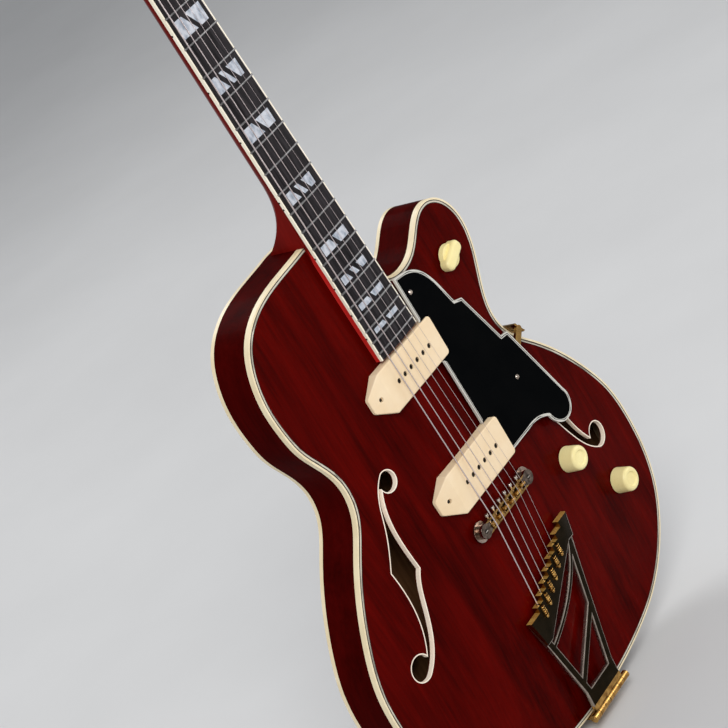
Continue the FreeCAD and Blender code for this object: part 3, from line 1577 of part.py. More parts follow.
def block_room(block):
    room = block.BoundBox
    return box(room.XMin, room.XMax, -tall, tall, room.ZMin, room.ZMax)


linings = []
for y_low, y_high in ((inner_front, inner_front + lining_height), (inner_back - lining_height, inner_back)):
    ring = outline_ring(rim_thickness, lining_width, y_low, y_high)
    linings.append(ring.cut([block_room(neck_block), block_room(tail_block), tenon]))
neck_block = neck_block.common(room_inside).cut([tenon] + button_holes)
tail_block = tail_block.common(room_inside).cut([holes] + button_holes)
save("body_blocks", neck_block, tail_block, *linings)
bars = []
for side in (-1, 1):
    x = side * tone_bar_x
    bar = box(x - tone_bar_width / 2, x + tone_bar_width / 2, -2 * tall, tall, tone_bar_low, tone_bar_high)
    bars.append(bar.common(layer(front_face, plate_thickness + touch_gap, tone_bar_height)))
save("tone_bars", *bars)

# Pieces that waited for the screw holes

save("neck", neck.cut(holes))
save("tuner_housings", *[on_head(tuner_housing(side, x, z)).cut(holes) for side, x, z in tuners])
save("headstock_veneer", veneer.cut(holes))
save("truss_rod_cover", truss_cover.cut(holes))
for name, z, top in pickup_places:
    save(name + "_pickup_cover", covers[name].cut(holes))
save("pickguard", guard_sheet.cut(holes))
save("pickguard_binding", guard_edge)
save("pickguard_bracket", bracket.cut(holes), spacer.cut(holes))
save("tailpiece_bracket", tail_plate.cut(holes), hinge_pin)
save("wood_screws", *[wood_screw(place, way, depth, head) for place, way, depth, head in screws])
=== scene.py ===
# %% [markdown]
# # An archtop guitar, dressed for its portrait
# The solids of the guitar come in as a fixed frame, and every finish is made here.
# Each step first says what the piece is on a real guitar, then how it is made and why.

# %% Load the frame
import json
import math

import bmesh
import bpy
from mathutils import Matrix, Vector
from mathutils.bvhtree import BVHTree


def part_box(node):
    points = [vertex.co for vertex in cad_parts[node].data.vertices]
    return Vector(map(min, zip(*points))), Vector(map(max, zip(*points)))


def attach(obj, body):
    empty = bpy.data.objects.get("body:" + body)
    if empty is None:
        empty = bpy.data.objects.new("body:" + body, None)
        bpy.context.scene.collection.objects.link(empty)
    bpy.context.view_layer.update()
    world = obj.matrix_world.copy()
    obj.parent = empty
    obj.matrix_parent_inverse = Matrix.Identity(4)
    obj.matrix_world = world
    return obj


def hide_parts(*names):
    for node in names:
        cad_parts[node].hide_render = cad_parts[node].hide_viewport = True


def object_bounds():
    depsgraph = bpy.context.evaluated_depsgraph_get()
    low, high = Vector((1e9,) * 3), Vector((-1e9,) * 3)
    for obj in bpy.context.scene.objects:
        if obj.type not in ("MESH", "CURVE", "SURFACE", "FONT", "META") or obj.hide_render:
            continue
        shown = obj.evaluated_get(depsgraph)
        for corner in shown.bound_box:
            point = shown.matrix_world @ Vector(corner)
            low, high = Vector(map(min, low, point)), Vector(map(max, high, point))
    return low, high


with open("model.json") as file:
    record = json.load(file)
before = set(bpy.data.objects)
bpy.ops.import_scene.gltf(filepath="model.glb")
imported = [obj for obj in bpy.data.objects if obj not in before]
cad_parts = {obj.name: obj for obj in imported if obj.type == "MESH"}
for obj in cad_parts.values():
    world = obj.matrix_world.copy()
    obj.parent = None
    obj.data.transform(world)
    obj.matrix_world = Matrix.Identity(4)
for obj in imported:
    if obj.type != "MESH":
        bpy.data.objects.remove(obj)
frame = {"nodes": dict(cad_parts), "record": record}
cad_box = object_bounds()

MM = 0.001

# %% [markdown]
# ## Camera
# The photograph looks at the guitar from the bass side and a little from above, with the camera rolled.
# A look-at constraint can't hold a roll, so the three axes of the camera are written down instead.
# The lens is long, because the real picture shows very little perspective.

# %% Camera at the photograph's angle
photo_side = 728
focal_pixels = 2693.3
principal_x = 389.0
camera_place = Vector((-1.4441, -1.5428, 1.1691))
camera_right = Vector((0.4971, -0.7204, -0.4837))
camera_up = Vector((0.5846, -0.1339, 0.8002))
camera_back = camera_right.cross(camera_up)

camera_data = bpy.data.cameras.new("portrait_camera")
camera_data.lens = focal_pixels / photo_side * camera_data.sensor_width
camera_data.shift_x = (photo_side / 2 - principal_x) / photo_side
camera = bpy.data.objects.new("portrait_camera", camera_data)
camera.matrix_world = Matrix.Translation(camera_place) @ Matrix(
    (camera_right, camera_up, camera_back)).transposed().to_4x4()
bpy.context.scene.collection.objects.link(camera)
bpy.context.scene.camera = camera
print("lens", round(camera_data.lens, 1), "shift", round(camera_data.shift_x, 4))

# %% [markdown]
# ## Helpers for finishes
# A finish is a small tree of shader nodes. A few helpers keep each tree short to read: one starts a
# material with its plain values set on the shader, one adds a node and wires it up, and the rest stand for
# the nodes that come back in nearly every finish.

# %% Material helpers
def start_finish(name, **values):
    """A new material; the values go on the shader's own sockets, with _ for a space."""
    material = bpy.data.materials.new(name)
    material.use_nodes = True
    shader = material.node_tree.nodes["Principled BSDF"]
    for socket, value in values.items():
        shader.inputs[socket.replace("_", " ")].default_value = value
    return material, shader


def add_node(material, kind, links=None, **settings):
    """A node of a kind; links go into its sockets, settings are its own or its sockets' values."""
    node = material.node_tree.nodes.new("ShaderNode" + kind)
    for key, value in settings.items():
        if key in node.bl_rna.properties:
            setattr(node, key, value)
        else:
            node.inputs[key.replace("_", " ")].default_value = value
    for socket, source in (links or {}).items():
        material.node_tree.links.new(source, node.inputs[socket])
    return node


def wire(material, source, shader, socket):
    """A link into one of the shader's sockets."""
    material.node_tree.links.new(source, shader.inputs[socket])


# %% Texture helpers
def ramp(material, factor, *stops):
    """Colours along a factor, each stop a (place, colour) pair."""
    node = add_node(material, "ValToRGB", {"Fac": factor})
    elements = node.color_ramp.elements
    while len(elements) < len(stops):
        elements.new(0.5)
    for element, (place, colour) in zip(elements, stops):
        element.position = place
        element.color = (*colour, 1.0)
    return node.outputs["Color"]


def object_place(material, stretch=1):
    """Object coordinates; a stretch below 1 draws a texture out along Z."""
    place = add_node(material, "TexCoord").outputs["Object"]
    mapping = add_node(material, "Mapping", {"Vector": place}, Scale=(1, 1, stretch))
    return mapping.outputs["Vector"]


def noise(material, vector, scale, detail=4.0, roughness=0.55):
    """A soft noise; a larger scale gives smaller spots."""
    return add_node(material, "TexNoise", {"Vector": vector}, Scale=scale, Detail=detail,
                    Roughness=roughness).outputs["Fac"]


def bump(material, shader, height, strength, distance):
    """A height that tilts the light but moves no point."""
    node = add_node(material, "Bump", {"Height": height}, Strength=strength, Distance=distance)
    wire(material, node.outputs["Normal"], shader, "Normal")


def spread(material, factor, low, high, start=0.3, end=0.7):
    """A noise, which hovers between start and end, brought to a range."""
    node = add_node(material, "MapRange", {"Value": factor}, From_Min=start, From_Max=end,
                    To_Min=low, To_Max=high)
    return node.outputs["Result"]


# %% [markdown]
# ## Stained wood under lacquer
# The top is spruce and the rest is maple, both stained a deep wine red. The grain runs along the strings,
# so a noise is stretched along Z until it draws fine streaks. A second, slow noise lets the stain pool.
# The lacquer is thin and rubbed: a weak mirror over the colour, or the wood would turn pink in a pale room.

# %% Stained woods
grain_stretch = 0.03
cloud_stretch = 0.14
cloud_scale = 42.0
streak_strength = 0.2
stain_range = (0.34, 0.86)


def stained_wood(name, dark, bright, streak, roughness, gloss, lacquer=0.015):
    material, shader = start_finish(name, Specular_IOR_Level=gloss, Coat_Weight=lacquer, Coat_Roughness=0.05)
    fine = noise(material, object_place(material, grain_stretch), streak, 6.0, 0.65)
    slow = noise(material, object_place(material, cloud_stretch), cloud_scale, 5.0, 0.6)
    streaks = spread(material, fine, 0, streak_strength)
    both = add_node(material, "Math", {0: streaks, 1: slow}, operation="ADD").outputs["Value"]
    stain = spread(material, both, 0, 1, *stain_range)
    middle = tuple((a + b) / 2 for a, b in zip(dark, bright))
    wire(material, ramp(material, stain, (0.1, dark), (0.5, middle), (0.9, bright)), shader, "Base Color")
    wire(material, spread(material, fine, roughness - 0.05, roughness + 0.08), shader, "Roughness")
    bump(material, shader, fine, 0.05, 0.2 * MM)
    return material


top_red = stained_wood("top_red", (0.032, 0.0005, 0.0002), (0.106, 0.0017, 0.0007),
                       streak=330.0, roughness=0.20, gloss=0.013, lacquer=0.006)
rim_red = stained_wood("rim_red", (0.026, 0.0006, 0.0004), (0.058, 0.0014, 0.0010),
                       streak=300.0, roughness=0.36, gloss=0.003, lacquer=0.003)
neck_red = stained_wood("neck_red", (0.110, 0.0030, 0.0020), (0.190, 0.0060, 0.0040),
                        streak=300.0, roughness=0.32, gloss=0.06)
# The riser's red is the neck's stain made far brighter: a painted highlight on the strip under the board.
painted_highlight_red = stained_wood("painted_highlight_red", (0.460, 0.0150, 0.0130), (0.700, 0.0300, 0.0260),
                         streak=300.0, roughness=0.30, gloss=0.08)
print("made", top_red.name, rim_red.name, neck_red.name, painted_highlight_red.name)

# %% [markdown]
# ## Dark and pale woods
# The fingerboard is ebony: nearly black, with brown pores drawn out along the neck.
# The blocks and bars inside are raw wood, and so are the inner sides of both plates, which get a darker
# brown as painted shade for the inside of the body seen through the f-holes. All use the same stretched noise
# with other colours.

# %% Plain woods
pore_stretch = 0.05


def plain_wood(name, dark, bright, streak, roughness, gloss):
    material, shader = start_finish(name, Specular_IOR_Level=gloss)
    fine = noise(material, object_place(material, pore_stretch), streak, 5.0, 0.6)
    wire(material, ramp(material, fine, (0.3, dark), (0.7, bright)), shader, "Base Color")
    wire(material, spread(material, fine, roughness + 0.1, roughness - 0.05), shader, "Roughness")
    bump(material, shader, fine, 0.15, 0.3 * MM)
    return material


ebony = plain_wood("ebony", (0.003, 0.0025, 0.003), (0.034, 0.029, 0.032),
                   streak=420.0, roughness=0.45, gloss=0.10)
black_wood = plain_wood("black_wood", (0.004, 0.004, 0.004), (0.010, 0.009, 0.009),
                        streak=300.0, roughness=0.25, gloss=0.12)
raw_wood = plain_wood("raw_wood", (0.40, 0.26, 0.14), (0.60, 0.44, 0.27),
                      streak=260.0, roughness=0.65, gloss=0.2)
inner_wood = plain_wood("inner_wood", (0.15, 0.062, 0.024), (0.25, 0.115, 0.048),
                        streak=260.0, roughness=0.65, gloss=0.1)
print("made", ebony.name, black_wood.name, raw_wood.name, inner_wood.name)

# %% [markdown]
# ## Plastics
# Bindings, covers and knobs are moulded or cut plastic that has yellowed with age.
# A soft, large noise gives the uneven yellowing, and a fine one breaks up the gloss as handling does.
# One function serves them all, since they differ only in colour and polish.

# %% Plastics
yellowing_scale = 45.0
handling_scale = 900.0


def aged_plastic(name, pale, aged, roughness=0.35, gloss=0.4):
    material, shader = start_finish(name, Specular_IOR_Level=gloss)
    slow = noise(material, object_place(material), yellowing_scale, 3.0)
    fine = noise(material, object_place(material), handling_scale, 2.0)
    wire(material, ramp(material, slow, (0.3, aged), (0.7, pale)), shader, "Base Color")
    wire(material, spread(material, fine, roughness - 0.06, roughness + 0.08), shader, "Roughness")
    bump(material, shader, fine, 0.04, 0.1 * MM)
    return material


cream = aged_plastic("cream_binding", (0.93, 0.80, 0.55), (0.82, 0.68, 0.43))
rose_cream = aged_plastic("rose_cream", (1.0, 0.88, 0.74), (0.96, 0.80, 0.64))
# The fingerboard's binding gets a paler cream than the body's: partly its own whiter plastic, partly painted
# light for a side the lamps reach weakly.
lit_pale_cream = aged_plastic("lit_pale_cream", (1.0, 0.93, 0.78), (0.94, 0.85, 0.66))
cover_cream = aged_plastic("cover_cream", (0.93, 0.74, 0.50), (0.88, 0.67, 0.42), roughness=0.38, gloss=0.3)
ivory = aged_plastic("ivory", (0.98, 0.86, 0.43), (0.92, 0.77, 0.35), roughness=0.30)
bone = aged_plastic("bone", (0.78, 0.70, 0.54), (0.66, 0.56, 0.40))
black_plastic = aged_plastic("black_plastic", (0.0010, 0.0013, 0.0016), (0.0018, 0.0020, 0.0022),
                             roughness=0.14, gloss=0.010)
coil_tape = aged_plastic("coil_tape", (0.02, 0.018, 0.016), (0.03, 0.026, 0.022), roughness=0.7, gloss=0.2)
ply_black = aged_plastic("ply_black", (0.012, 0.011, 0.011), (0.022, 0.018, 0.016), gloss=0.15)
ply_white = aged_plastic("ply_white", (0.66, 0.60, 0.50), (0.56, 0.50, 0.40), gloss=0.3)
print("made ten plastics")

# %% [markdown]
# ## Pearl
# The split blocks in the fingerboard are cut from shell. Pearl has cells of its own that turn blue or white,
# so a cell texture is multiplied into a noise, and a ramp gives the product its greys.

# %% Pearl
def pearl_finish(name):
    material, shader = start_finish(name, Roughness=0.22, Specular_IOR_Level=0.4)
    cells = add_node(material, "TexVoronoi", {"Vector": object_place(material, 0.5)}, Scale=240.0)
    slow = noise(material, object_place(material), 330.0, 4.0)
    both = add_node(material, "Math", {0: cells.outputs["Distance"], 1: slow}, operation="MULTIPLY")
    shadow, blue, white = (0.27, 0.31, 0.365), (0.425, 0.46, 0.525), (0.60, 0.62, 0.67)
    colour = ramp(material, both.outputs["Value"], (0.05, shadow), (0.18, blue), (0.36, white))
    wire(material, colour, shader, "Base Color")
    return material


pearl = pearl_finish("pearl")
print("made", pearl.name)

# %% [markdown]
# ## The guard's edge
# The guard is bound with thin sheets of white and black plastic that run all the way round it.
# Each point of the strip is told how far it lies from the guard's black field, and a stepped ramp
# turns that distance into stripes. No lines have to be modelled.

# %% Striped edge
def striped_edge(name):
    material, shader = start_finish(name, Roughness=0.32, Specular_IOR_Level=0.3)
    across = add_node(material, "Attribute", attribute_name="across").outputs["Fac"]
    grime = spread(material, noise(material, object_place(material), 300.0), -0.05, 0.05)
    place = add_node(material, "Math", {0: across, 1: grime}, operation="ADD").outputs["Value"]
    white, black = (0.62, 0.60, 0.54), (0.012, 0.012, 0.012)
    stripes = ramp(material, place, (0.0, white), (0.26, white), (0.31, black), (0.60, black), (0.65, white),
                   (1.0, white))
    wire(material, stripes, shader, "Base Color")
    return material


guard_edge = striped_edge("guard_edge")
print("made", guard_edge.name)

# %% [markdown]
# ## Metals
# The hardware is gold plate over a cast or turned base. Plate is bright, but years of hands dull it
# in patches, so noise drives both the roughness and a shift of the colour to brown.
# The front faces of the tailpiece are near black and hardly shine, a painted dark reflection; its treads get
# a brighter gold, a painted highlight, and its edges are pale, partly rubbed and partly a painted highlight.

# %% Metals
def worn_metal(name, bright, dull, polished, matt, patch_scale=120.0, shine=1.0, gloss=0.5):
    material, shader = start_finish(name, Metallic=shine, Specular_IOR_Level=gloss)
    patches = noise(material, object_place(material), patch_scale, 5.0, 0.6)
    wire(material, ramp(material, patches, (0.30, dull), (0.65, bright)), shader, "Base Color")
    wire(material, spread(material, patches, matt, polished), shader, "Roughness")
    bump(material, shader, patches, 0.04, 0.1 * MM)
    return material


gold = worn_metal("gold", (0.74, 0.44, 0.13), (0.26, 0.12, 0.03), 0.14, 0.34, patch_scale=200.0)
brown_gold = worn_metal("brown_gold", (0.40, 0.235, 0.070), (0.20, 0.110, 0.034), 0.16, 0.34)
# Near black and matt: a painted dark reflection for the tailpiece's front faces.
dark_reflection_gold = worn_metal("dark_reflection_gold", (0.015, 0.010, 0.005), (0.007, 0.005, 0.002), 0.20, 0.36,
                       shine=0.0, gloss=0.015)
# A brighter, half-matt gold: a painted highlight for the tailpiece's treads.
lit_step_gold = worn_metal("lit_step_gold", (1.0, 0.66, 0.17), (0.52, 0.26, 0.05), 0.18, 0.36,
                       patch_scale=300.0, shine=0.6)
# Pale gold for rubbed screws and edges; on the tailpiece's edges it is partly a painted highlight.
rubbed_and_highlight_gold = worn_metal("rubbed_and_highlight_gold", (0.50, 0.43, 0.37), (0.28, 0.23, 0.19), 0.20, 0.36)
nickel = worn_metal("nickel", (0.74, 0.67, 0.60), (0.52, 0.46, 0.40), 0.16, 0.34)
# Pale, patchy nickel for worn bridge ends and thumbwheels, partly a painted highlight.
worn_highlight_nickel = worn_metal("worn_highlight_nickel", (0.52, 0.41, 0.34), (0.12, 0.075, 0.055), 0.10, 0.28,
                         patch_scale=170.0)
# Dark metal for the bridge's flat end tops: a painted dark reflection.
dark_reflection_metal = worn_metal("dark_reflection_metal", (0.20, 0.15, 0.12), (0.025, 0.018, 0.014), 0.12, 0.30, patch_scale=260.0)
fret_wire = worn_metal("fret_wire", (0.30, 0.295, 0.295), (0.19, 0.185, 0.185), 0.28, 0.42)
steel = worn_metal("steel", (0.58, 0.58, 0.58), (0.44, 0.44, 0.44), 0.30, 0.50)
black_steel = worn_metal("black_steel", (0.05, 0.042, 0.034), (0.028, 0.022, 0.018), 0.35, 0.50)
plain_wire = worn_metal("plain_wire", (0.80, 0.70, 0.69), (0.64, 0.54, 0.53), 0.20, 0.36, patch_scale=600.0)
print("made twelve metals")

# %% [markdown]
# The four low strings have a core with a fine wire wound round it. Bands along the string, as close
# together as the turns, raise the surface a little, and the valleys between them get a darker colour, a
# painted shade.

# %% Wound strings
winding_pitch = 0.4 * MM


def wound_wire(name):
    material, shader = start_finish(name, Metallic=1.0, Roughness=0.32)
    bands = add_node(material, "TexWave", {"Vector": object_place(material)}, bands_direction="Z",
                     Scale=math.pi / 10 / winding_pitch).outputs["Fac"]
    # Valleys darker than crests: painted shade between the turns.
    shaded_valley, lit_crest = (0.52, 0.43, 0.42), (0.84, 0.74, 0.73)
    wire(material, ramp(material, bands, (0.1, shaded_valley), (0.6, lit_crest)), shader, "Base Color")
    bump(material, shader, bands, 0.3, 0.1 * MM)
    return material


wound = wound_wire("wound_wire")
print("made", wound.name)

# %% [markdown]
# ## Dressing the solids
# A solid from the frame is a cloud of loose triangles with hard edges. A copy of it is merged, its flat
# faces are joined up again, and a small bevel rounds the edges so that they catch the light.
# The copy then stands for the solid. Where a solid shows two finishes, a short rule sorts its faces.

# %% Helpers for shapes
merge_distance = 0.002 * MM
flat_angle = math.radians(0.6)


def merged_copy(node):
    """The node's triangles as one mesh with joined vertices."""
    shape = bmesh.new()
    shape.from_mesh(frame["nodes"][node].data)
    bmesh.ops.remove_doubles(shape, verts=shape.verts, dist=merge_distance)
    shape.normal_update()
    return shape


def surface(node):
    """A search tree that finds points on a node."""
    return BVHTree.FromBMesh(merged_copy(node))


def join_flat_faces(shape):
    """Flat neighbours with the same finish become one face."""
    bmesh.ops.dissolve_limit(shape, angle_limit=flat_angle, verts=shape.verts, edges=shape.edges,
                             delimit={"MATERIAL"})


def cut(shape, point, normal):
    """New edges along a plane, with nothing taken away."""
    bmesh.ops.bisect_plane(shape, geom=shape.verts[:] + shape.edges[:] + shape.faces[:], plane_co=point,
                           plane_no=normal)


def shade(shape, crease=32):
    """Smooth faces, with a hard edge where two faces meet at more degrees than the crease."""
    for face in shape.faces:
        face.smooth = True
    for edge in shape.edges:
        edge.smooth = edge.calc_face_angle(0.0) < math.radians(crease)


def islands(shape):
    """The groups of faces that hang together."""
    left = set(shape.faces)
    while left:
        group = [left.pop()]
        for face in group:
            for edge in face.edges:
                beside = left.intersection(edge.link_faces)
                left -= beside
                group.extend(beside)
        yield group


def points(group):
    """The places of a group's vertices."""
    return [vert.co.copy() for face in group for vert in face.verts]


# %% Dress a node
bevel_angle = math.radians(40)
bodies = frame["record"]["behaviour"]["bodies"]
node_body = {node: body for body, nodes in bodies.items() for node in nodes}
node_slot = {part["node"]: part["material_slot"] for part in frame["record"]["subparts"]}


def add_piece(name, shape, body, materials, slot):
    """A finished piece at the origin, riding on a body."""
    mesh = bpy.data.meshes.new(name)
    shape.to_mesh(mesh)
    shape.free()
    piece = bpy.data.objects.new(name, mesh)
    bpy.context.scene.collection.objects.link(piece)
    for material in materials:
        mesh.materials.append(material)
    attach(piece, body)
    return piece


def soften(piece, width):
    """A small round on every sharp edge."""
    bevel = piece.modifiers.new("soft_edges", "BEVEL")
    bevel.width = width
    bevel.segments = 2
    bevel.limit_method = "ANGLE"
    bevel.angle_limit = bevel_angle
    bevel.use_clamp_overlap = True


def dress(node, materials, bevel=0.0, sort=None):
    """A finished copy of a node; sort gives each face the number of its finish."""
    shape = merged_copy(node)
    if sort:
        sort(shape)
    join_flat_faces(shape)
    shade(shape)
    piece = add_piece(node + "_finish", shape, node_body[node], materials, node_slot[node])
    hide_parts(node)
    if bevel:
        soften(piece, bevel)
    return piece


def tell(piece):
    """A line on what a piece came out as."""
    print(piece.name, "has", len(piece.data.polygons), "faces in", len(piece.data.materials), "finishes")


# %% [markdown]
# ## Pieces with one finish
# Most pieces are made of one stuff all over. The table gives each its finish and the width of its bevel,
# which is zero where the solid is round enough as it is.

# %% Pieces with one finish
hairline = 0.1 * MM
fine_edge = 0.15 * MM
small_edge = 0.2 * MM
soft_edge = 0.3 * MM
round_edge = 0.5 * MM
plain_pieces = [
    ("rim", rim_red, 0.0), ("body_bindings", cream, 0.0), ("f_hole_bindings", rose_cream, 0.0),
    ("body_blocks", raw_wood, 0.0), ("tone_bars", raw_wood, 0.0),
    ("fingerboard", ebony, 0.0), ("headstock_veneer", black_wood, 0.0), ("truss_rod", steel, 0.0),
    ("truss_rod_cover", black_plastic, soft_edge), ("frets", fret_wire, 0.0), ("inlays", pearl, 0.0),
    ("nut", bone, 0.0), ("tuner_housings", gold, round_edge), ("tuner_bushings", gold, small_edge),
    ("neck_pickup_cover", cover_cream, 0.0), ("bridge_pickup_cover", cover_cream, 0.0),
    ("pickup_coils", coil_tape, 0.0), ("pole_screws", black_steel, 0.0), ("pickguard", black_plastic, 0.0),
    ("pickguard_bracket", brown_gold, soft_edge), ("bridge_studs", black_steel, small_edge),
    ("tailpiece_bracket", gold, soft_edge), ("control_pots", steel, 0.0), ("switch_body", steel, 0.0),
    ("output_jack", gold, small_edge), ("strap_buttons", gold, soft_edge),
    ("saddle_screws", nickel, fine_edge), ("thumbwheel_bass", worn_highlight_nickel, hairline),
    ("thumbwheel_treble", worn_highlight_nickel, hairline), ("volume_knob", ivory, 0.0), ("tone_knob", ivory, 0.0),
    ("selector_knob", ivory, 0.0)]
for number in range(1, 7):
    plain_pieces.append((f"tuner_post_{number}", gold, fine_edge))
    plain_pieces.append((f"tuner_button_{number}", gold, 0.0))
    plain_pieces.append((f"saddle_{number}", gold, small_edge))
for node, material, bevel in plain_pieces:
    dress(node, [material], bevel)
print("dressed", len(plain_pieces), "nodes")

# %% [markdown]
# ## Plates
# The carved plates are stained and lacquered outside only. Their inner sides are left raw, so the faces
# that look into the body get raw wood, darkened to brown as painted shade for the inside of the body.

# %% Top and back plate
inward_limit = -0.3


def raw_side(outward):
    """A rule for a plate; outward is the sign of Y on its lacquered side."""
    def sort(shape):
        for face in shape.faces:
            face.material_index = int(face.normal.y * outward < inward_limit)
    return sort


tell(dress("top_plate", [top_red, inner_wood], sort=raw_side(-1)))
tell(dress("back_plate", [rim_red, inner_wood], sort=raw_side(1)))

# %% [markdown]
# ## Neck
# Shaft, heel and headstock are one piece of wood. The strip of it that lifts the fingerboard off the top
# gets a far brighter copy of the neck's stain, a painted highlight, and shows as a bright red line beside the
# board.

# %% Neck
body_top = 497 * MM
riser_back = -22 * MM


def paint_riser_highlight(shape):
    for face in shape.faces:
        middle = face.calc_center_median()
        face.material_index = int(middle.z < body_top and middle.y < riser_back)


tell(dress("neck", [neck_red, painted_highlight_red], sort=paint_riser_highlight))

# %% [markdown]
# ## Fingerboard binding
# The cream strip is thinner than the board it edges, and the stain runs up under it. The strip is cut
# along a plane below the board's face, and what lies under the cut gets the stain, or the riser's painted
# highlight red where the board stands over the body.

# %% Fingerboard binding
neck_origin = Vector((0, -45.8 * MM, 218.5 * MM))
neck_tilt = math.radians(-3)
strip_depth = 3.9 * MM
neck_place = Matrix.Translation(neck_origin) @ Matrix.Rotation(neck_tilt, 4, "X")
down = neck_place.to_3x3() @ Vector((0, 1, 0))
stain_line = neck_place @ Vector((0, strip_depth, 0))


def stain_and_highlight_below(shape):
    cut(shape, stain_line, down)
    cut(shape, (0, 0, body_top), (0, 0, 1))
    for face in shape.faces:
        middle = face.calc_center_median()
        face.material_index = 0
        if (middle - stain_line).dot(down) > 0:
            face.material_index = 1 if middle.z > body_top else 2


tell(dress("neck_binding", [lit_pale_cream, neck_red, painted_highlight_red], sort=stain_and_highlight_below))

# %% [markdown]
# ## Purfling
# Between the cream binding and the top lie three thin plies: black, white, black. The distance of a face
# from the binding tells which ply it belongs to.

# %% Three plies
white_start = 0.8 * MM
white_end = 2.3 * MM


def sort_plies(shape):
    binding = surface("body_bindings")
    for face in shape.faces:
        distance = binding.find_nearest(face.calc_center_median())[3]
        face.material_index = int(white_start < distance < white_end)


tell(dress("top_purfling", [ply_black, ply_white], sort=sort_plies))

# %% [markdown]
# ## Bound edge of the guard
# Here the strip's points are measured against the guard's field for the stripes above.
# Where the guard runs under a pickup cover it is left black.

# %% Guard edge
strip_width = 2.4 * MM
cover_reach = 3.6 * MM


def measure_across(shape):
    field = surface("pickguard")
    across = shape.verts.layers.float.new("across")
    for vert in shape.verts:
        vert[across] = field.find_nearest(vert.co)[3] / strip_width
    covers = [surface(name + "_pickup_cover") for name in ("neck", "bridge")]
    for face in shape.faces:
        middle = face.calc_center_median()
        distance = min(cover.find_nearest(middle)[3] for cover in covers)
        face.material_index = int(distance < cover_reach)


tell(dress("pickguard_binding", [guard_edge, black_plastic], sort=measure_across))

# %% [markdown]
# ## Strings
# Six wires run from the tailpiece to the tuners. The four thick ones are wound, the two thin ones plain.
# Each string is an island of the mesh, and the islands are told apart by their place at the tailpiece.
# The ball that holds a string in the tailpiece is brass, so the lowest bit of each string gets the gold.

# %% Strings
ball_end = 6 * MM
plain_from = 10 * MM


def sort_strings(shape):
    for group in islands(shape):
        tail = min(points(group), key=lambda place: place.z)
        for face in group:
            face.material_index = int(tail.x > plain_from)
            if face.calc_center_median().z < tail.z + ball_end:
                face.material_index = 2


tell(dress("strings", [wound, plain_wire, gold], sort=sort_strings))

# %% [markdown]
# ## Screws
# Wood screws hold the covers, the guard, the tuners and the tail. Those in the pickup covers have gone
# dark, the pair in the guard is rubbed pale, and the rest are gold. The boxes of the covers and of the
# guard tell which screw sits where.

# %% Wood screws
def over(box, place):
    """Whether a place lies in front of a box, seen from the face of the guitar."""
    low, high = box
    return low.x < place.x < high.x and low.z < place.z < high.z


def sort_screws(shape):
    covers = [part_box(node) for node in ("neck_pickup_cover", "bridge_pickup_cover")]
    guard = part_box("pickguard")
    for group in islands(shape):
        head = min(points(group), key=lambda place: place.y)
        finish = 2 if over(guard, head) else 0
        if any(over(cover, head) for cover in covers):
            finish = 1
        for face in group:
            face.material_index = finish


tell(dress("wood_screws", [gold, black_steel, rubbed_and_highlight_gold], hairline, sort_screws))

# %% [markdown]
# ## Tailpiece
# The cast frame is plated. Its broad front faces are a near-black brown, a painted dark reflection, and its
# edges and the sides of its struts are pale, partly rubbed by sleeves and cloths and partly a painted
# highlight. The treads of the steps that hold the strings get a brighter gold, a painted highlight, and their
# other sides a browner gold, a painted shade. The strip along the hinge is gold, and is cut off the dark face
# along a plane.

# %% Tailpiece
hinge_top = 11 * MM
step_middle = 138.8 * MM
step_slope = 0.52
step_reach = 15 * MM
tread_limit = 0.6
front_limit = -0.9
rubbed_lit_width = 1.1 * MM
# Front faces get a painted dark reflection, treads a painted highlight, step sides a painted shade, and edges
# wear with a painted highlight.
dark_reflection_face, hinge, rubbed_lit_edge, lit_tread, shaded_step_side = range(5)


def beside_steps(place):
    return abs(place.z - step_middle - step_slope * place.x) < step_reach


def sort_tailpiece(shape):
    cut(shape, (0, 0, hinge_top), (0, 0, 1))
    for face in shape.faces:
        middle = face.calc_center_median()
        face.material_index = hinge if middle.z < hinge_top else rubbed_lit_edge
        if beside_steps(middle):
            face.material_index = lit_tread if face.normal.z > tread_limit else shaded_step_side
        if face.normal.y < front_limit and middle.z > hinge_top:
            face.material_index = dark_reflection_face
    join_flat_faces(shape)
    rims = [edge for edge in shape.edges
            if {face.material_index for face in edge.link_faces} == {dark_reflection_face, rubbed_lit_edge}]
    rubbed_lit = bmesh.ops.bevel(shape, geom=rims, offset=rubbed_lit_width, offset_type="OFFSET", affect="EDGES",
                           segments=2, profile=0.5, material=-1, clamp_overlap=False)
    for face in rubbed_lit["faces"]:
        face.material_index = rubbed_lit_edge
    print("worn edges", len(rims), "bevelled faces", len(rubbed_lit["faces"]))


tell(dress("tailpiece_frame", [dark_reflection_gold, gold, rubbed_and_highlight_gold, lit_step_gold, brown_gold], sort=sort_tailpiece))

# %% [markdown]
# ## String ends
# A string is hooked into the tailpiece by a small brass ball, and its last bit is wound back on itself.
# One ring is spun round the string's line and pushed along it, so that it leaves a coil. The coils lie over
# the grooves of the tailpiece. They ride with the strings, so that no coil cuts its string when the
# tailpiece rocks.

# %% String ends
wire_radius = 0.5 * MM
wire_sides = 8
coil_radius = 1.9 * MM
coil_pitch = 2.3 * MM
coil_turns = 3
coil_steps = coil_turns * 18
coil_lift = 0.2 * MM
coil_crease = 60
ball_radius = 1.6 * MM
ball_drop = 1 * MM
crossbar_reach = 14 * MM


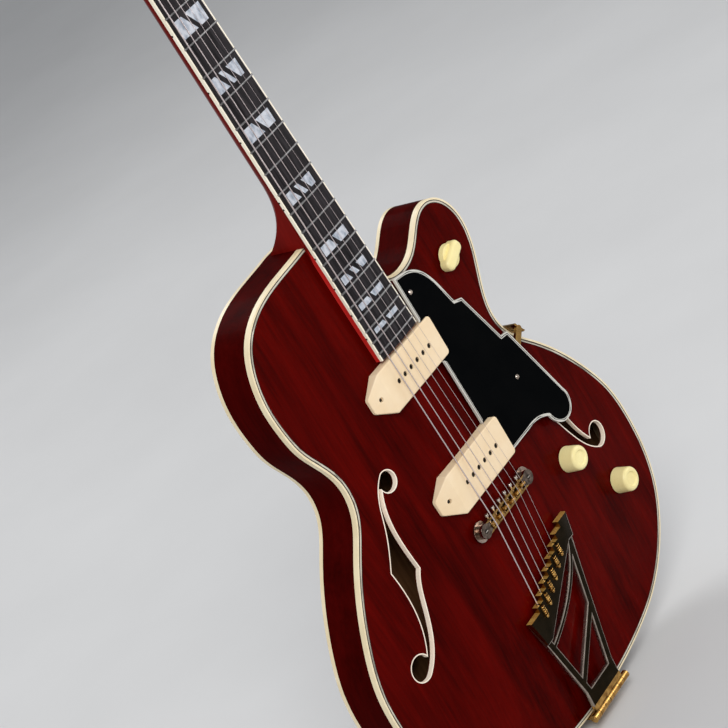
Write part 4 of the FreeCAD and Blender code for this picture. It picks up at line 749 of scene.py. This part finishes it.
def add_coil(shape, start):
    """A ring spun up a line along Z, and a ball at its foot."""
    aside = Matrix.Translation(start + Vector((coil_radius, 0, 0)))
    ring = bmesh.ops.create_circle(shape, segments=wire_sides, radius=wire_radius,
                                   matrix=aside @ Matrix.Rotation(math.radians(90), 4, "X"))
    ring_edges = {edge for vert in ring["verts"] for edge in vert.link_edges}
    bmesh.ops.spin(shape, geom=list(ring_edges), cent=start, axis=(0, 0, 1), angle=coil_turns * math.tau,
                   steps=coil_steps, dvec=(0, 0, coil_turns * coil_pitch / coil_steps))
    bmesh.ops.create_uvsphere(shape, u_segments=16, v_segments=10, radius=ball_radius,
                              matrix=Matrix.Translation(start))


crossbar = merged_copy("tailpiece_frame")
string_shape = merged_copy("strings")
string_tails = [min(points(group), key=lambda place: place.z) for group in islands(string_shape)]
coils = bmesh.new()
for tail in string_tails:
    crossbar_front = min(vert.co.y for vert in crossbar.verts if (vert.co - tail).length < crossbar_reach)
    add_coil(coils, Vector((tail.x, crossbar_front - coil_lift, tail.z - ball_drop)))
bmesh.ops.recalc_face_normals(coils, faces=coils.faces)
shade(coils, coil_crease)
tell(add_piece("string_ends", coils, "guitar", [gold], "gold"))

# %% [markdown]
# ## Bridge frame
# The frame is a gold bar that has browned. The sides of its two round ends, which the hand rests on, are
# pale, partly worn through to the metal below and partly a painted highlight, and their flat tops are dark, a
# painted dark reflection.

# %% Bridge frame
bar_half_length = 31 * MM
frame_bevel = 0.6 * MM


def sort_bridge_ends(shape):
    for face in shape.faces:
        face.material_index = 0
        if abs(face.calc_center_median().x) > bar_half_length:
            face.material_index = 2 if face.normal.y < front_limit else 1


tell(dress("bridge_frame", [brown_gold, worn_highlight_nickel, dark_reflection_metal], frame_bevel, sort_bridge_ends))

# %% [markdown]
# ## Stud slots
# The studs come up through the frame and end in dark heads with a slot for a screwdriver. A thin bar stands
# for the lit wall of each slot. It is set where a ray from the front, over the middle of the thumbwheel,
# meets the stud.

# %% Stud slots
slot_size = Vector((3.4 * MM, 0.7 * MM, 0.16 * MM))
ray_start = -200 * MM


def laid_on(seat, outward):
    """A place on a surface, with Z pointing out of it."""
    return Matrix.Translation(seat) @ outward.to_track_quat("Z", "Y").to_matrix().to_4x4()


studs = surface("bridge_studs")
slots = bmesh.new()
for wheel in ("thumbwheel_bass", "thumbwheel_treble"):
    low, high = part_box(wheel)
    middle = (low + high) / 2
    seat, outward, _, _ = studs.ray_cast(Vector((middle.x, ray_start, middle.z)), Vector((0, 1, 0)))
    bmesh.ops.create_cube(slots, size=1.0, matrix=laid_on(seat, outward) @ Matrix.Diagonal((*slot_size, 1)))
    print("stud head at", [round(value / MM, 1) for value in seat], "mm")
tell(add_piece("stud_slots", slots, "guitar", [nickel], "gold"))

# %% [markdown]
# ## Side dots
# Small black dots in the edge of the fingerboard's binding tell the player where the hand is.
# They stand half way between two frets, at frets with inlays, and the twelfth has two.
# Each dot is a thin disc that is laid on the nearest point of the binding.

# %% Side dots
scale_length = 635 * MM
board_half_width = 21.5 * MM
widening_share = 7 / 463
dot_depth = 3.4 * MM
dot_aside = 1 * MM
dot_radius = 1.0 * MM
dot_top_radius = 0.9 * MM
dot_height = 0.12 * MM
dot_sides = 20
middle_share = 0.5
twelfth_shares = (0.32, 0.68)


def fret_line(number):
    """How far a fret lies from the bridge line."""
    return scale_length * 2 ** (-number / 12)


binding = surface("neck_binding")
dots = bmesh.new()
for fret in (5, 7, 9, 12, 15, 17, 19, 21):
    for share in twelfth_shares if fret == 12 else (middle_share,):
        height = fret_line(fret) + (fret_line(fret - 1) - fret_line(fret)) * share
        half_width = board_half_width + (scale_length - height) * widening_share
        beside = neck_place @ Vector((-half_width - dot_aside, dot_depth, height))
        seat, outward, _, _ = binding.find_nearest(beside)
        bmesh.ops.create_cone(dots, cap_ends=True, segments=dot_sides, radius1=dot_radius,
                              radius2=dot_top_radius, depth=dot_height, matrix=laid_on(seat, outward))
shade(dots)
tell(add_piece("side_dots", dots, "guitar", [ply_black], "black_plastic"))

# %% [markdown]
# ## Stage
# A product picture wants a pale floor without an edge, so one large sheet lies under the guitar.
# Its paint is matt, with slow patches that are hardly seen.

# %% Floor
floor_half_width = 12.0


def studio_floor():
    shape = bmesh.new()
    bmesh.ops.create_grid(shape, x_segments=2, y_segments=2, size=floor_half_width)
    bmesh.ops.translate(shape, verts=shape.verts, vec=(0, 0, cad_box[0][2]))
    mesh = bpy.data.meshes.new("floor")
    shape.to_mesh(mesh)
    shape.free()
    floor = bpy.data.objects.new("floor", mesh)
    bpy.context.scene.collection.objects.link(floor)
    material, shader = start_finish("floor_paint", Roughness=0.8)
    patches = noise(material, object_place(material), 3.0)
    grey, pale_grey = (0.66, 0.66, 0.66), (0.70, 0.70, 0.70)
    wire(material, ramp(material, patches, (0.3, grey), (0.7, pale_grey)), shader, "Base Color")
    mesh.materials.append(material)


studio_floor()
print("floor at", round(cad_box[0][2] / MM, 1), "mm")

# %% [markdown]
# ## Light
# Three soft lamps: a big key from the upper left, a fill from the treble side and a weak light from above
# and behind. The world gives an even, low level so that no shadow is black.

# %% Lights
guitar_middle = Vector((0.0, 0.0, 0.45))
sky_colour = (0.85, 0.87, 0.90, 1.0)
sky_strength = 0.4


def soft_lamp(name, place, size, power):
    """A round area lamp that looks at the middle of the guitar."""
    data = bpy.data.lights.new(name, "AREA")
    data.shape = "DISK"
    data.size = size
    data.energy = power
    lamp = bpy.data.objects.new(name, data)
    lamp.location = place
    lamp.rotation_euler = (guitar_middle - Vector(place)).to_track_quat("-Z", "Y").to_euler()
    bpy.context.scene.collection.objects.link(lamp)


soft_lamp("key", (-1.6, -2.0, 2.4), size=1.6, power=66.0)
soft_lamp("fill", (2.2, -1.6, 1.2), size=1.8, power=26.0)
soft_lamp("back", (0.6, 2.0, 2.2), size=1.4, power=25.0)
world = bpy.data.worlds.new("studio")
world.use_nodes = True
sky = world.node_tree.nodes["Background"]
sky.inputs["Color"].default_value = sky_colour
sky.inputs["Strength"].default_value = sky_strength
bpy.context.scene.world = world
bpy.context.scene.view_settings.view_transform = "Standard"
print("lit with", len(bpy.data.lights), "lamps")
